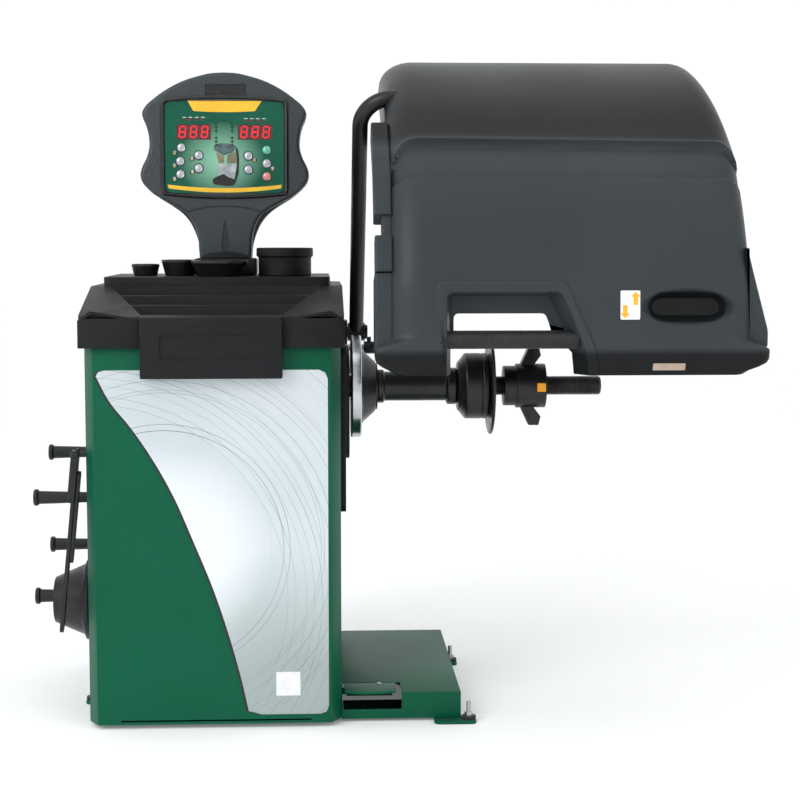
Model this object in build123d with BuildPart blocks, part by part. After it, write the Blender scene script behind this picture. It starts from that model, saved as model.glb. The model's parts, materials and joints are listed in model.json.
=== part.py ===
from build123d import *
import math
import os

# Wheel balancer: a sheet-metal cabinet with a horizontal spindle, a swinging wheel hood and a display head.
# Frame: +X along the spindle towards the wheel, +Y to the rear, +Z up from the floor. Millimetres.

os.makedirs("parts", exist_ok=True)

# Clearances
run_fit = 0.05
seat_gap = 0.2
touch_gap = 0.3

# Cabinet
cabinet_width = 440.0
cabinet_depth = 490.0
cabinet_top = 690.0
cabinet_bottom = 8.0
cabinet_left = -516.0
cabinet_front = -165.0
cabinet_sheet = 2.0
corner_cut_x = 17.0
corner_cut_y = 30.0
cabinet_right = cabinet_left + cabinet_width
cabinet_rear = cabinet_front + cabinet_depth
cabinet_centre_x = cabinet_left + cabinet_width / 2
inner_right = cabinet_right - cabinet_sheet
inner_front = cabinet_front + cabinet_sheet
inner_rear = cabinet_rear - cabinet_sheet
rear_border = 36.0
rear_overlap = 20.0
toe_slot_length = 330.0
toe_slot_height = 3.0
toe_slot_lift = 6.0

# Base platform beside the cabinet
platform_width = 211.0
platform_front = -135.0
platform_depth = 490.0
platform_top = 52.0
platform_sheet = 2.5
foot_plate_thickness = 5.0
platform_right = cabinet_right + platform_width
platform_rear = platform_front + platform_depth
pedal_notch_width = 106.0
pedal_notch_depth = 72.0
pedal_slot_height = 30.0

# Feet and anchor studs
foot_plate_width = 34.0
foot_overhang = 26.0
stud_radius = 4.0
stud_top = 36.0
nut_flats = 13.0
nut_height = 7.0
washer_radius = 13.0
washer_height = 5.0
left_foot_y = 25.0
rear_foot_y = 282.0

# Spindle
spindle_y = cabinet_front + 245.0
spindle_z = 576.0
shaft_radius = 18.0
journal_radius = shaft_radius + 2.0
shaft_end = 412.0
thread_free = 100.0
bearing_radius = 36.0
bearing_width = 16.0
housing_radius = 45.0
housing_length = 265.0
housing_right = cabinet_right - 24.0
housing_left = housing_right - housing_length
flange_radius = 95.0
flange_thickness = 19.0
flange_left = cabinet_right + 22.0
hub_big_radius = 70.0
hub_seat_depth = 1.0
hub_small_radius = 43.0
hub_length = 30.0
sleeve_radius = 29.5
sleeve_length = 148.0
driven_radius = 70.0
pulley_width = 29.0
encoder_radius = 55.0
encoder_thickness = 2.0

# Drive
belt_width = 11.0
belt_thickness = 3.0
motor_pulley_radius = 20.0
motor_drop = 196.0
motor_radius = 45.0
motor_length = 150.0
motor_shaft_radius = 7.0

# Spindle support
beam_top = 506.0
beam_thickness = 6.0
sensor_radius = 12.0
sensor_height = 15.0
housing_foot_half = 40.0

# Brake linkage
brake_shaft_radius = 6.0
brake_shaft_y = spindle_y + 90.0
brake_shaft_z = 480.0
pedal_axis_y = cabinet_front + 90.0
pedal_axis_z = 40.0
pedal_arm_length = 60.0
brake_pad_gap = 4.4
brake_rod_radius = 4.0
brake_rod_gap = 0.9
brake_lever_gap = 0.7

# Clamping set on the spindle
cup_small_radius = 37.0
cup_big_radius = 61.0
cup_taper_length = 19.0
cup_body_length = 30.0
cup_hub_radius = 30.0
cup_hub_length = 10.0
plate_radius = 90.0
plate_thickness = 6.0
nut_gap = 22.0
nut_flange_radius = 37.0
nut_flange_length = 23.0
nut_hub_radius = 41.0
nut_hub_length = 54.0
wing_reach = 73.0
wing_width = 26.0
button_side = 16.0
button_travel = 3.0

# Weight tray
tray_side_gap = 1.0
tray_wall = 6.0
tray_skirt_bottom = 664.0
tray_front_top = 717.0
tray_slope_top = 764.0
plateau_front = 20.0
plateau_top = 780.0
plateau_inset = 16.0
apron_width = 239.0
apron_bottom = 617.0
apron_reach = 20.0
apron_taper = 14.0
apron_recess_width = 175.0
apron_recess_height = 50.0
apron_recess_depth = 3.0
bin_rear_width = 380.0
bin_front_width = 232.0
bin_depth = 24.0
bin_rows = 3
bin_ridge = 5.0
bin_margin = 12.0

# Display head
head_x = cabinet_centre_x + 10.0
head_front = 138.0
head_split = 170.0
head_rear = 220.0
head_wall = 3.0
head_top = 1157.0
horn_half = 152.0
horn_z = 1082.0
waist_half = 142.0
waist_z = 1027.0
lobe_half = 155.0
lobe_z = 967.0
jaw_half = 81.0
jaw_z = 903.0
neck_half = 49.0
neck_z = 835.0
collar_half = 58.0
collar_z = 826.0
panel_width = 222.0
panel_height = 169.0
panel_z = 1018.0
panel_thickness = 3.0
panel_recess = 0.5
rim_width = 8.0
rim_height = 4.0
board_front = 150.0
board_thickness = 1.6
board_width = 242.0
board_height = 140.0
post_radius = 4.0
post_offset_x = 116.0
post_offset_z = 60.0
digit_width = 64.0
digit_height = 28.0
digit_offset_x = 57.0
digit_z = 1046.0
key_radius = 7.8
key_travel = 0.5
key_proud = 2.5
key_flange = 1.4
key_hole_gap = 0.3

# Loose pieces kept on the tray and the pegs
bore_radius = shaft_radius + 0.1
big_cup_radius = 52.5
big_cup_body = 49.0
big_cup_height = 52.0
big_cup_rim = 16.0
big_cup_wall = 4.0
peg_radius = 11.0
peg_tip_radius = 14.0
peg_tip_length = 8.0
peg_length = 106.0
peg_base_radius = 20.0
peg_base_length = 4.0
peg_cone_big = 72.0
peg_cone_small = 41.0
peg_cone_length = 66.0
caliper_lean = 5.8
caliper_thickness = 6.0
caliper_block = 12.0
caliper_hook_z = 478.0
caliper_y = -128.0
caliper_pivot_drop = 40.0

# Spindle cover and distance gauge
cover_front = -40.0
cover_rear = cabinet_rear - 55.0
cover_bottom = 357.0
cover_top = 660.0
cover_depth = 11.0
boss_bottom = 450.0
boss_top = 648.0
boss_depth = 18.0
cover_wall = 3.0
cover_bore = 24.0
gauge_y = cover_rear - 35.0
gauge_z = 638.0
gauge_rod_radius = 6.0
gauge_rod_length = 320.0
gauge_head_radius = 12.0
gauge_head_length = 20.0

# Hood
hood_left = -23.0
hood_body_left = 3.0
hood_body_right = 586.0
hood_right = 621.0
hood_wall = 5.0
hood_bottom = 628.0
hood_flare_top = 800.0
crescent_depth = 150.0
handle_left = 93.0
handle_right = 290.0
handle_z = 686.0
handle_y = -332.0
handle_radius = 15.5
pocket_top = 776.0
pocket_bottom = 728.0
pocket_depth = 45.0
oval_left = 416.0
oval_right = 548.0
oval_z = 740.0
oval_height = 48.0
oval_depth = 14.0
arm_x = cabinet_right + 38.0
arm_radius = 14.0
arm_bend = 60.0
arm_end_x = 560.0
pivot_y = cabinet_rear - 25.0
pivot_z = 665.0
pivot_pin_radius = 10.0
pivot_sleeve_radius = 18.0
arm_top_y = -47.5
arm_seat_z = 1110.507
roof_slope = math.radians(19.0)
arm_top_z = arm_seat_z - arm_radius / math.cos(roof_slope)
bracket_depth = 20.0

# Rear panel, inlet and power board
rear_panel_sheet = 2.0
inlet_width = 50.0
inlet_height = 80.0
inlet_z = 135.0
inlet_x = -430.0
inlet_depth = 15.0
rocker_width = 20.0
rocker_height = 26.0
screw_head_radius = 5.0
screw_head = 2.5


def save(solid, name):
    """Label one finished piece and write its file."""
    solid.label = name
    export_step(solid, f"parts/{name}.step")


def yz_plane(x, y=0.0, z=0.0):
    """Sketch plane across the spindle at x: local x runs to the rear, local y up, normal +X."""
    return Plane(origin=(x, y, z), x_dir=(0, 1, 0), z_dir=(1, 0, 0))


def xz_plane(y, x=0.0, z=0.0):
    """Sketch plane facing the front at y: local x runs right, local y up, normal to the front."""
    return Plane(origin=(x, y, z), x_dir=(1, 0, 0), z_dir=(0, -1, 0))


def cabinet_outline(inset):
    """Plan of the cabinet with its two cut front corners, drawn inwards by inset."""
    left = cabinet_left + inset
    right = cabinet_right - inset
    front = cabinet_front + inset
    rear = cabinet_rear - inset
    cut_x = corner_cut_x
    cut_y = corner_cut_y
    Polyline(
        (left + cut_x, front),
        (right - cut_x, front),
        (right, front + cut_y),
        (right, rear),
        (left, rear),
        (left, front + cut_y),
        close=True,
    )


# ---- Cabinet shell ----
peg_places = [
    (cabinet_front + 320.0, 447.0),
    (cabinet_front + 320.0, 271.0),
    (cabinet_front + 130.0, 389.0),
    (cabinet_front + 130.0, 211.0),
]

with BuildPart() as cabinet_shell:
    with BuildSketch(Plane.XY.offset(cabinet_bottom)):
        with BuildLine():
            cabinet_outline(0)
        make_face()
    extrude(amount=cabinet_top - cabinet_bottom)
    with BuildSketch(Plane.XY.offset(cabinet_bottom + cabinet_sheet)):
        with BuildLine():
            cabinet_outline(cabinet_sheet)
        make_face()
    extrude(amount=cabinet_top, mode=Mode.SUBTRACT)
    window_low = cabinet_bottom + 60.0
    window_high = cabinet_top - 60.0
    with BuildSketch(xz_plane(cabinet_rear + 1, cabinet_centre_x, (window_low + window_high) / 2)):
        Rectangle(cabinet_width - 2 * rear_border, window_high - window_low)
    extrude(amount=cabinet_sheet + 2, mode=Mode.SUBTRACT)
    with BuildSketch(yz_plane(cabinet_right - 2 * cabinet_sheet)):
        with Locations((spindle_y, spindle_z)):
            Circle(housing_radius + 5)
        with Locations((gauge_y, gauge_z)):
            Circle(gauge_rod_radius + run_fit)
        with Locations((pedal_axis_y, pedal_axis_z)):
            Circle(brake_shaft_radius + run_fit)
    extrude(amount=3 * cabinet_sheet, mode=Mode.SUBTRACT)
    with BuildSketch(xz_plane(cabinet_front - 1, cabinet_centre_x + 2, cabinet_bottom + toe_slot_lift)):
        Rectangle(toe_slot_length, toe_slot_height)
    extrude(amount=-(cabinet_sheet + 2), mode=Mode.SUBTRACT)
save(cabinet_shell.part, "cabinet_shell")

# ---- Rear panel with vents, closing the window from outside ----
panel_low = cabinet_bottom + 60.0 - rear_overlap
panel_high = cabinet_top - 60.0 + rear_overlap
rear_panel_width = cabinet_width - 2 * rear_border + 2 * rear_overlap
screw_places = [
    (cabinet_centre_x + side * (rear_panel_width / 2 - rear_overlap / 2), z)
    for side in (-1, 1)
    for z in (panel_low + 12, (panel_low + panel_high) / 2, panel_high - 12)
]

panel_centre_z = (panel_low + panel_high) / 2
with BuildPart() as rear_panel:
    with BuildSketch(xz_plane(cabinet_rear + rear_panel_sheet, cabinet_centre_x, panel_centre_z)):
        Rectangle(rear_panel_width, panel_high - panel_low)
    extrude(amount=rear_panel_sheet)
    with BuildSketch(xz_plane(cabinet_rear + rear_panel_sheet + 1, inlet_x, inlet_z)):
        Rectangle(inlet_width + 2 * seat_gap, inlet_height + 2 * seat_gap)
    extrude(amount=rear_panel_sheet + 2, mode=Mode.SUBTRACT)
    with BuildSketch(xz_plane(cabinet_rear + rear_panel_sheet + 1, cabinet_centre_x, 560)):
        with GridLocations(0, 14, 1, 6):
            SlotOverall(160, 5)
    extrude(amount=rear_panel_sheet + 2, mode=Mode.SUBTRACT)
save(rear_panel.part, "rear_panel")

with BuildPart() as panel_screws:
    for screw_x, screw_z in screw_places:
        with BuildSketch(xz_plane(cabinet_rear + rear_panel_sheet + screw_head, screw_x, screw_z)):
            Circle(screw_head_radius)
        extrude(amount=screw_head)
save(panel_screws.part, "panel_screws")

# ---- Base platform: a folded sheet box, open below, with the pedal notch ----
platform_mid_x = (cabinet_right + platform_right) / 2
platform_mid_y = (platform_front + platform_rear) / 2
platform_bottom = foot_plate_thickness

with BuildPart() as base_platform:
    with BuildSketch(Plane.XY.offset(platform_bottom)):
        with Locations((platform_mid_x, platform_mid_y)):
            Rectangle(platform_width, platform_depth)
    extrude(amount=platform_top - platform_bottom)
    with BuildSketch(Plane.XY.offset(platform_bottom - 1)):
        with Locations((platform_mid_x, platform_mid_y)):
            Rectangle(platform_width - 2 * platform_sheet, platform_depth - 2 * platform_sheet)
    extrude(amount=platform_top - platform_sheet - platform_bottom + 1, mode=Mode.SUBTRACT)
    # The notch for the pedal runs to the cabinet wall.
    with BuildSketch(Plane.XY.offset(platform_top - pedal_slot_height)):
        with Locations((cabinet_right, platform_front)):
            Rectangle(
                pedal_notch_width,
                pedal_notch_depth,
                align=(Align.MIN, Align.MIN),
            )
    extrude(amount=pedal_slot_height + 1, mode=Mode.SUBTRACT)
save(base_platform.part, "base_platform")

# ---- Foot plates, anchor bolts with their nuts, and rubber washers ----
foot_boxes = [
    (cabinet_left - foot_overhang, cabinet_left + 48.0, left_foot_y),
    (platform_right - 48.0, platform_right + foot_overhang, platform_front - foot_overhang + 22),
    (platform_right - 48.0, platform_right + foot_overhang, rear_foot_y),
]
stud_places = [
    (cabinet_left - 13.0 - touch_gap, left_foot_y),
    (platform_right + 13.0 + touch_gap, platform_front - foot_overhang + 22),
    (platform_right + 13.0 + touch_gap, rear_foot_y),
]

with BuildPart() as foot_plates:
    for low_x, high_x, foot_y in foot_boxes:
        with BuildSketch():
            with Locations(((low_x + high_x) / 2, foot_y)):
                RectangleRounded(high_x - low_x, foot_plate_width + 10, 10)
        extrude(amount=foot_plate_thickness)
    with BuildSketch(Plane.XY.offset(-1)):
        with Locations(*stud_places):
            Circle(stud_radius + run_fit)
    extrude(amount=foot_plate_thickness + 2, mode=Mode.SUBTRACT)
    # The cabinet stands a little higher than the plates: a welded pad fills the difference.
    with BuildSketch(Plane.XY.offset(foot_plate_thickness)):
        with Locations((cabinet_left + 24, left_foot_y)):
            Rectangle(40, foot_plate_width)
    extrude(amount=cabinet_bottom - foot_plate_thickness)
save(foot_plates.part, "foot_plates")

with BuildPart() as rubber_washers:
    with BuildSketch(Plane.XY.offset(foot_plate_thickness)):
        with Locations(*stud_places):
            Circle(washer_radius)
            Circle(stud_radius + run_fit, mode=Mode.SUBTRACT)
    extrude(amount=washer_height)
save(rubber_washers.part, "rubber_washers")

with BuildPart() as anchor_bolts:
    with BuildSketch():
        with Locations(*stud_places):
            Circle(stud_radius)
    extrude(amount=stud_top)
    with BuildSketch(Plane.XY.offset(foot_plate_thickness + washer_height)):
        with Locations(*stud_places):
            RegularPolygon(nut_flats / 2, 6, major_radius=False)
    extrude(amount=nut_height)
save(anchor_bolts.part, "anchor_bolts")

# ---- Weight tray: a moulded cap over the cabinet, stepped bins in front and a plateau behind ----
tray_left = cabinet_left - tray_wall
tray_right = cabinet_right + tray_wall
tray_front = cabinet_front - tray_wall
tray_rear = cabinet_rear + tray_wall

with BuildPart() as weight_tray:
    with BuildSketch(yz_plane(tray_left)):
        with BuildLine():
            Polyline(
                (tray_front, tray_skirt_bottom),
                (tray_rear, tray_skirt_bottom),
                (tray_rear, tray_slope_top),
                (plateau_front, tray_slope_top),
                (tray_front, tray_front_top),
                close=True,
            )
        make_face()
    extrude(amount=tray_right - tray_left)
    fillet(weight_tray.edges().filter_by(Axis.Z).group_by(Axis.Y)[0], 10)
    # Plateau behind the bins
    with BuildSketch(Plane.XY.offset(tray_slope_top)):
        with Locations((cabinet_centre_x, (plateau_front + tray_rear - plateau_inset) / 2)):
            RectangleRounded(
                cabinet_width - 2 * plateau_inset,
                tray_rear - plateau_inset - plateau_front,
                12,
            )
    extrude(amount=plateau_top - tray_slope_top)
    # Apron hanging over the cabinet front
    with BuildSketch(xz_plane(tray_front)):
        with BuildLine():
            Polyline(
                (cabinet_centre_x - apron_width / 2, tray_front_top),
                (cabinet_centre_x + apron_width / 2, tray_front_top),
                (cabinet_centre_x + apron_width / 2 - apron_taper / 2, apron_bottom + 15),
                (cabinet_centre_x + apron_width / 2 - apron_taper, apron_bottom),
                (cabinet_centre_x - apron_width / 2 + apron_taper, apron_bottom),
                (cabinet_centre_x - apron_width / 2 + apron_taper / 2, apron_bottom + 15),
                close=True,
            )
        make_face()
    extrude(amount=apron_reach)
    # The apron also fills back to just in front of the cabinet face.
    with BuildSketch(xz_plane(cabinet_front - tray_side_gap)):
        with Locations((cabinet_centre_x, (apron_bottom + tray_front_top) / 2)):
            Rectangle(apron_width - 2 * apron_taper, tray_front_top - apron_bottom)
    extrude(amount=tray_wall)
    with BuildSketch(xz_plane(tray_front - apron_reach)):
        with Locations((cabinet_centre_x, (apron_bottom + tray_front_top) / 2 + 4)):
            RectangleRounded(apron_recess_width, apron_recess_height, 8)
    extrude(amount=-apron_recess_depth, mode=Mode.SUBTRACT)
    # Socket that drops over the cabinet's top edge
    with BuildSketch(Plane.XY.offset(tray_skirt_bottom - 1)):
        with BuildLine():
            cabinet_outline(-tray_side_gap)
        make_face()
    extrude(amount=cabinet_top - tray_skirt_bottom + 1, mode=Mode.SUBTRACT)
    # The moulding is hollow under the plateau
    with BuildSketch(Plane.XY.offset(cabinet_top - 1)):
        with Locations((cabinet_centre_x, (plateau_front + tray_rear) / 2)):
            Rectangle(cabinet_width - 4 * plateau_inset, tray_rear - plateau_front - 4 * plateau_inset)
    extrude(amount=plateau_top - tray_wall - cabinet_top + 1, mode=Mode.SUBTRACT)
    # Bins: three stepped troughs between slanted side walls
    slope_run = plateau_front - tray_front
    for row in range(bin_rows):
        row_front = tray_front + bin_margin + row * (slope_run - bin_margin) / bin_rows
        row_rear = tray_front + bin_margin + (row + 1) * (slope_run - bin_margin) / bin_rows - bin_ridge
        share_front = (row_front - tray_front) / slope_run
        share_rear = (row_rear - tray_front) / slope_run
        half_front = (bin_front_width + (bin_rear_width - bin_front_width) * share_front) / 2
        half_rear = (bin_front_width + (bin_rear_width - bin_front_width) * share_rear) / 2
        floor_z = tray_front_top + (tray_slope_top - tray_front_top) * share_front - bin_depth + 8
        with BuildSketch(Plane.XY.offset(floor_z)):
            with BuildLine():
                Polyline(
                    (cabinet_centre_x - half_front, row_front),
                    (cabinet_centre_x + half_front, row_front),
                    (cabinet_centre_x + half_rear, row_rear),
                    (cabinet_centre_x - half_rear, row_rear),
                    close=True,
                )
            make_face()
        extrude(amount=plateau_top, mode=Mode.SUBTRACT)
save(weight_tray.part, "weight_tray")

# ---- Display head: front shell, rear shell with the neck ----
def head_outline(inset):
    """Front view of the head, symmetric about its centre line, drawn inwards by inset."""
    shoulder = horn_half - 12 - inset
    shoulder_z = horn_z + 14 - inset
    ThreePointArc((-shoulder, shoulder_z), (0, head_top - inset), (shoulder, shoulder_z))
    Polyline(
        (shoulder, shoulder_z),
        (horn_half - inset, horn_z - 6),
        (waist_half - inset, waist_z),
        (lobe_half - inset, lobe_z),
        (lobe_half - 18 - inset, lobe_z - 18 + inset / 2),
        (jaw_half - inset, jaw_z + inset),
        (inset - jaw_half, jaw_z + inset),
        (inset - lobe_half + 18, lobe_z - 18 + inset / 2),
        (inset - lobe_half, lobe_z),
        (inset - waist_half, waist_z),
        (inset - horn_half, horn_z - 6),
        (-shoulder, shoulder_z),
    )


with BuildPart() as head_front_shell:
    with BuildSketch(xz_plane(head_split, head_x)):
        with BuildLine():
            head_outline(0)
        make_face()
    extrude(amount=head_split - head_front)
    with BuildSketch(xz_plane(head_split + 1, head_x)):
        with BuildLine():
            head_outline(head_wall)
        make_face()
    extrude(amount=head_split - head_front - head_wall + 1, mode=Mode.SUBTRACT)
    # Raised rim round the panel window
    with BuildSketch(xz_plane(head_front, head_x, panel_z)):
        RectangleRounded(panel_width + 2 * rim_width, panel_height + 2 * rim_width, 20)
    extrude(amount=rim_height)
    with BuildSketch(xz_plane(head_front + head_wall + 1, head_x, panel_z)):
        RectangleRounded(panel_width + 2 * seat_gap, panel_height + 2 * seat_gap, 14)
    extrude(amount=head_wall + rim_height + 2, mode=Mode.SUBTRACT)
    # Posts that carry the display board
    with BuildSketch(xz_plane(board_front, head_x, panel_z)):
        with GridLocations(2 * post_offset_x, 2 * post_offset_z, 2, 2):
            Circle(post_radius)
    extrude(amount=board_front - head_front - head_wall)
save(head_front_shell.part, "head_front_shell")

with BuildPart() as head_rear_shell:
    with BuildSketch(xz_plane(head_rear, head_x)):
        with BuildLine():
            head_outline(0)
        make_face()
        with BuildLine():
            Polyline(
                (-jaw_half, jaw_z),
                (-neck_half, neck_z),
                (-collar_half, collar_z),
                (-collar_half, plateau_top),
                (collar_half, plateau_top),
                (collar_half, collar_z),
                (neck_half, neck_z),
                (jaw_half, jaw_z),
                close=True,
            )
        make_face()
    extrude(amount=head_rear - head_split)
    # Hollow behind the front shell, and down the neck for the wires
    with BuildSketch(xz_plane(head_rear - head_wall, head_x)):
        with BuildLine():
            head_outline(head_wall)
        make_face()
    extrude(amount=head_rear - head_split, mode=Mode.SUBTRACT)
    with BuildSketch(Plane.XY.offset(plateau_top - 1)):
        with Locations((head_x, (head_split + head_rear) / 2)):
            Rectangle(2 * neck_half - 30, head_rear - head_split - 20)
    extrude(amount=jaw_z - plateau_top + 10, mode=Mode.SUBTRACT)
save(head_rear_shell.part, "head_rear_shell")

# ---- Display panel, digits, board and keys ----
key_spots = {
    "key_left_top": (-80.0, -1.0),
    "key_left_middle": (-82.0, -26.0),
    "key_left_bottom": (-82.0, -50.0),
    "key_inner_left_top": (-48.0, -15.0),
    "key_inner_left_bottom": (-48.0, -39.0),
    "key_inner_right_top": (44.0, -16.0),
    "key_inner_right_bottom": (44.0, -41.0),
    "key_right_top": (78.0, -5.0),
    "key_right_middle": (78.0, -30.0),
    "key_right_bottom": (78.0, -54.0),
}
key_hole_radius = key_radius + key_hole_gap
panel_front = head_front + panel_recess
digit_spots = [(-digit_offset_x, digit_z - panel_z), (digit_offset_x, digit_z - panel_z)]

with BuildPart() as display_panel:
    with BuildSketch(xz_plane(panel_front + panel_thickness, head_x, panel_z)):
        RectangleRounded(panel_width, panel_height, 14)
        with Locations(*key_spots.values()):
            Circle(key_hole_radius, mode=Mode.SUBTRACT)
        with Locations(*digit_spots):
            Rectangle(digit_width + 2 * seat_gap, digit_height + 2 * seat_gap, mode=Mode.SUBTRACT)
    extrude(amount=panel_thickness)
save(display_panel.part, "display_panel")

with BuildPart() as digit_windows:
    with BuildSketch(xz_plane(board_front, head_x, panel_z)):
        with Locations(*digit_spots):
            Rectangle(digit_width, digit_height)
    extrude(amount=board_front - panel_front)
save(digit_windows.part, "digit_windows")

with BuildPart() as display_board:
    with BuildSketch(xz_plane(board_front + board_thickness, head_x, panel_z)):
        Rectangle(board_width, board_height)
    extrude(amount=board_thickness)
save(display_board.part, "display_board")


def build_key(spot_x, spot_z, name):
    """A round key: domed cap through the panel, a flange that keeps it in and a stem to its switch."""
    flange_front = panel_front + panel_thickness + touch_gap
    cap_front = panel_front - key_proud
    with BuildPart() as key:
        with BuildSketch(xz_plane(flange_front, head_x + spot_x, panel_z + spot_z)):
            Circle(key_radius)
        extrude(amount=flange_front - cap_front)
        fillet(key.faces().sort_by(Axis.Y)[0].edges(), 1.2)
        with BuildSketch(xz_plane(flange_front + key_flange, head_x + spot_x, panel_z + spot_z)):
            Circle(key_radius + 1.4)
        extrude(amount=key_flange)
        with BuildSketch(xz_plane(board_front - key_travel - touch_gap, head_x + spot_x, panel_z + spot_z)):
            Circle(key_radius / 3)
        extrude(amount=board_front - key_travel - touch_gap - flange_front - key_flange)
    save(key.part, name)


for key_name, (key_x, key_z) in key_spots.items():
    build_key(key_x, key_z, key_name)

# ---- Spindle support: beam, force sensors, housing, bearings ----
support_left = housing_left - 15.0

with BuildPart() as support_frame:
    with BuildSketch(Plane.XY.offset(beam_top - beam_thickness)):
        with Locations(((support_left + inner_right) / 2, (inner_front + inner_rear) / 2)):
            Rectangle(inner_right - support_left, inner_rear - inner_front)
        # The two cut corners of the cabinet leave this corner free.
        with Locations((inner_right, inner_front)):
            Rectangle(2 * corner_cut_x + 6, 2 * corner_cut_y + 6, mode=Mode.SUBTRACT)
    extrude(amount=beam_thickness)
    for lug_x in (support_left, inner_right - 40.0):
        with BuildSketch(yz_plane(lug_x, brake_shaft_y, brake_shaft_z)):
            with BuildLine():
                Polyline((-16, beam_top - beam_thickness - brake_shaft_z), (-16, -10), (16, -10),
                         (16, beam_top - beam_thickness - brake_shaft_z), close=True)
            make_face()
            Circle(brake_shaft_radius + run_fit, mode=Mode.SUBTRACT)
        extrude(amount=beam_thickness)
save(support_frame.part, "support_frame")

sensor_xs = (housing_left + 30.0, housing_right - 30.0)
with BuildPart() as force_sensors:
    with BuildSketch(Plane.XY.offset(beam_top)):
        with Locations(*[(x, spindle_y) for x in sensor_xs]):
            Circle(sensor_radius)
    extrude(amount=sensor_height)
save(force_sensors.part, "force_sensors")

with BuildPart() as spindle_housing:
    with BuildSketch(yz_plane(housing_left, spindle_y, spindle_z)):
        Circle(housing_radius)
    extrude(amount=housing_length)
    with BuildSketch(Plane.XY.offset(beam_top + sensor_height)):
        with Locations(((housing_left + housing_right) / 2, spindle_y)):
            Rectangle(housing_length - 10, 2 * housing_foot_half)
    extrude(amount=spindle_z - housing_radius - beam_top - sensor_height + 10)
    with BuildSketch(yz_plane(housing_left - 1, spindle_y, spindle_z)):
        Circle(bearing_radius - 6)
    extrude(amount=housing_length + 2, mode=Mode.SUBTRACT)
    for seat_x in (housing_left, housing_right - bearing_width):
        with BuildSketch(yz_plane(seat_x, spindle_y, spindle_z)):
            Circle(bearing_radius + run_fit)
        extrude(amount=bearing_width, mode=Mode.SUBTRACT)
save(spindle_housing.part, "spindle_housing")

with BuildPart() as spindle_bearings:
    for seat_x in (housing_left, housing_right - bearing_width):
        with BuildSketch(yz_plane(seat_x, spindle_y, spindle_z)):
            Circle(bearing_radius)
            Circle(journal_radius + run_fit, mode=Mode.SUBTRACT)
        extrude(amount=bearing_width)
save(spindle_bearings.part, "spindle_bearings")

# ---- Spindle and what turns with it ----
driven_left = housing_left - 49.0
encoder_left = housing_left - 10.0
wheel_seat_x = flange_left + flange_thickness
hub_left = wheel_seat_x - hub_seat_depth
hub_right = wheel_seat_x + hub_length

with BuildPart() as spindle_shaft:
    with BuildSketch(yz_plane(driven_left, spindle_y, spindle_z)):
        Circle(journal_radius)
    extrude(amount=hub_left - driven_left)
    with BuildSketch(yz_plane(hub_left, spindle_y, spindle_z)):
        Circle(shaft_radius)
    extrude(amount=shaft_end - hub_left)
    chamfer(spindle_shaft.faces().sort_by(Axis.X)[-1].edges(), 2)
    # Shallow groove that marks where a locked nut ends
    with BuildSketch(yz_plane(shaft_end - thread_free - 4, spindle_y, spindle_z)):
        Circle(journal_radius)
        Circle(shaft_radius - 0.5, mode=Mode.SUBTRACT)
    extrude(amount=2, mode=Mode.SUBTRACT)
save(spindle_shaft.part, "spindle_shaft")

with BuildPart() as driven_pulley:
    with BuildSketch(yz_plane(driven_left, spindle_y, spindle_z)):
        Circle(driven_radius)
        Circle(journal_radius + run_fit, mode=Mode.SUBTRACT)
    extrude(amount=pulley_width)
save(driven_pulley.part, "driven_pulley")

with BuildPart() as encoder_disc:
    with BuildSketch(yz_plane(encoder_left, spindle_y, spindle_z)):
        Circle(encoder_radius)
        Circle(journal_radius + run_fit, mode=Mode.SUBTRACT)
    extrude(amount=encoder_thickness)
save(encoder_disc.part, "encoder_disc")

with BuildPart() as wheel_flange:
    with BuildSketch(yz_plane(flange_left, spindle_y, spindle_z)):
        Circle(flange_radius)
    extrude(amount=flange_thickness)
    chamfer(wheel_flange.edges().filter_by(GeomType.CIRCLE), 2)
    with BuildSketch(yz_plane(flange_left - 1, spindle_y, spindle_z)):
        Circle(journal_radius + run_fit)
    extrude(amount=flange_thickness + 2, mode=Mode.SUBTRACT)
    # Shallow seat for the hub, so that the wheel lies on the ring outside it
    with BuildSketch(yz_plane(hub_left, spindle_y, spindle_z)):
        Circle(hub_big_radius + run_fit)
    extrude(amount=hub_seat_depth, mode=Mode.SUBTRACT)
save(wheel_flange.part, "wheel_flange")

with BuildPart() as hub_cone:
    with BuildSketch(yz_plane(hub_left, spindle_y, spindle_z)):
        Circle(hub_big_radius)
    with BuildSketch(yz_plane(hub_right, spindle_y, spindle_z)):
        Circle(hub_small_radius)
    loft()
    with BuildSketch(yz_plane(hub_left - 1, spindle_y, spindle_z)):
        Circle(shaft_radius + run_fit)
    extrude(amount=hub_right - hub_left + 2, mode=Mode.SUBTRACT)
save(hub_cone.part, "hub_cone")

sleeve_left = hub_right
with BuildPart() as adapter_sleeve:
    with BuildSketch(yz_plane(sleeve_left, spindle_y, spindle_z)):
        Circle(sleeve_radius)
        Circle(shaft_radius + run_fit, mode=Mode.SUBTRACT)
    extrude(amount=sleeve_length)
save(adapter_sleeve.part, "adapter_sleeve")

# ---- Pressure cup, its plate and the quick nut, which slide on the shaft ----
cup_left = sleeve_left + sleeve_length + touch_gap
plate_left = cup_left + cup_taper_length + cup_body_length + cup_hub_length
nut_left = plate_left + plate_thickness + nut_gap
nut_hub_left = nut_left + nut_flange_length
nut_right = nut_hub_left + nut_hub_length

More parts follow.
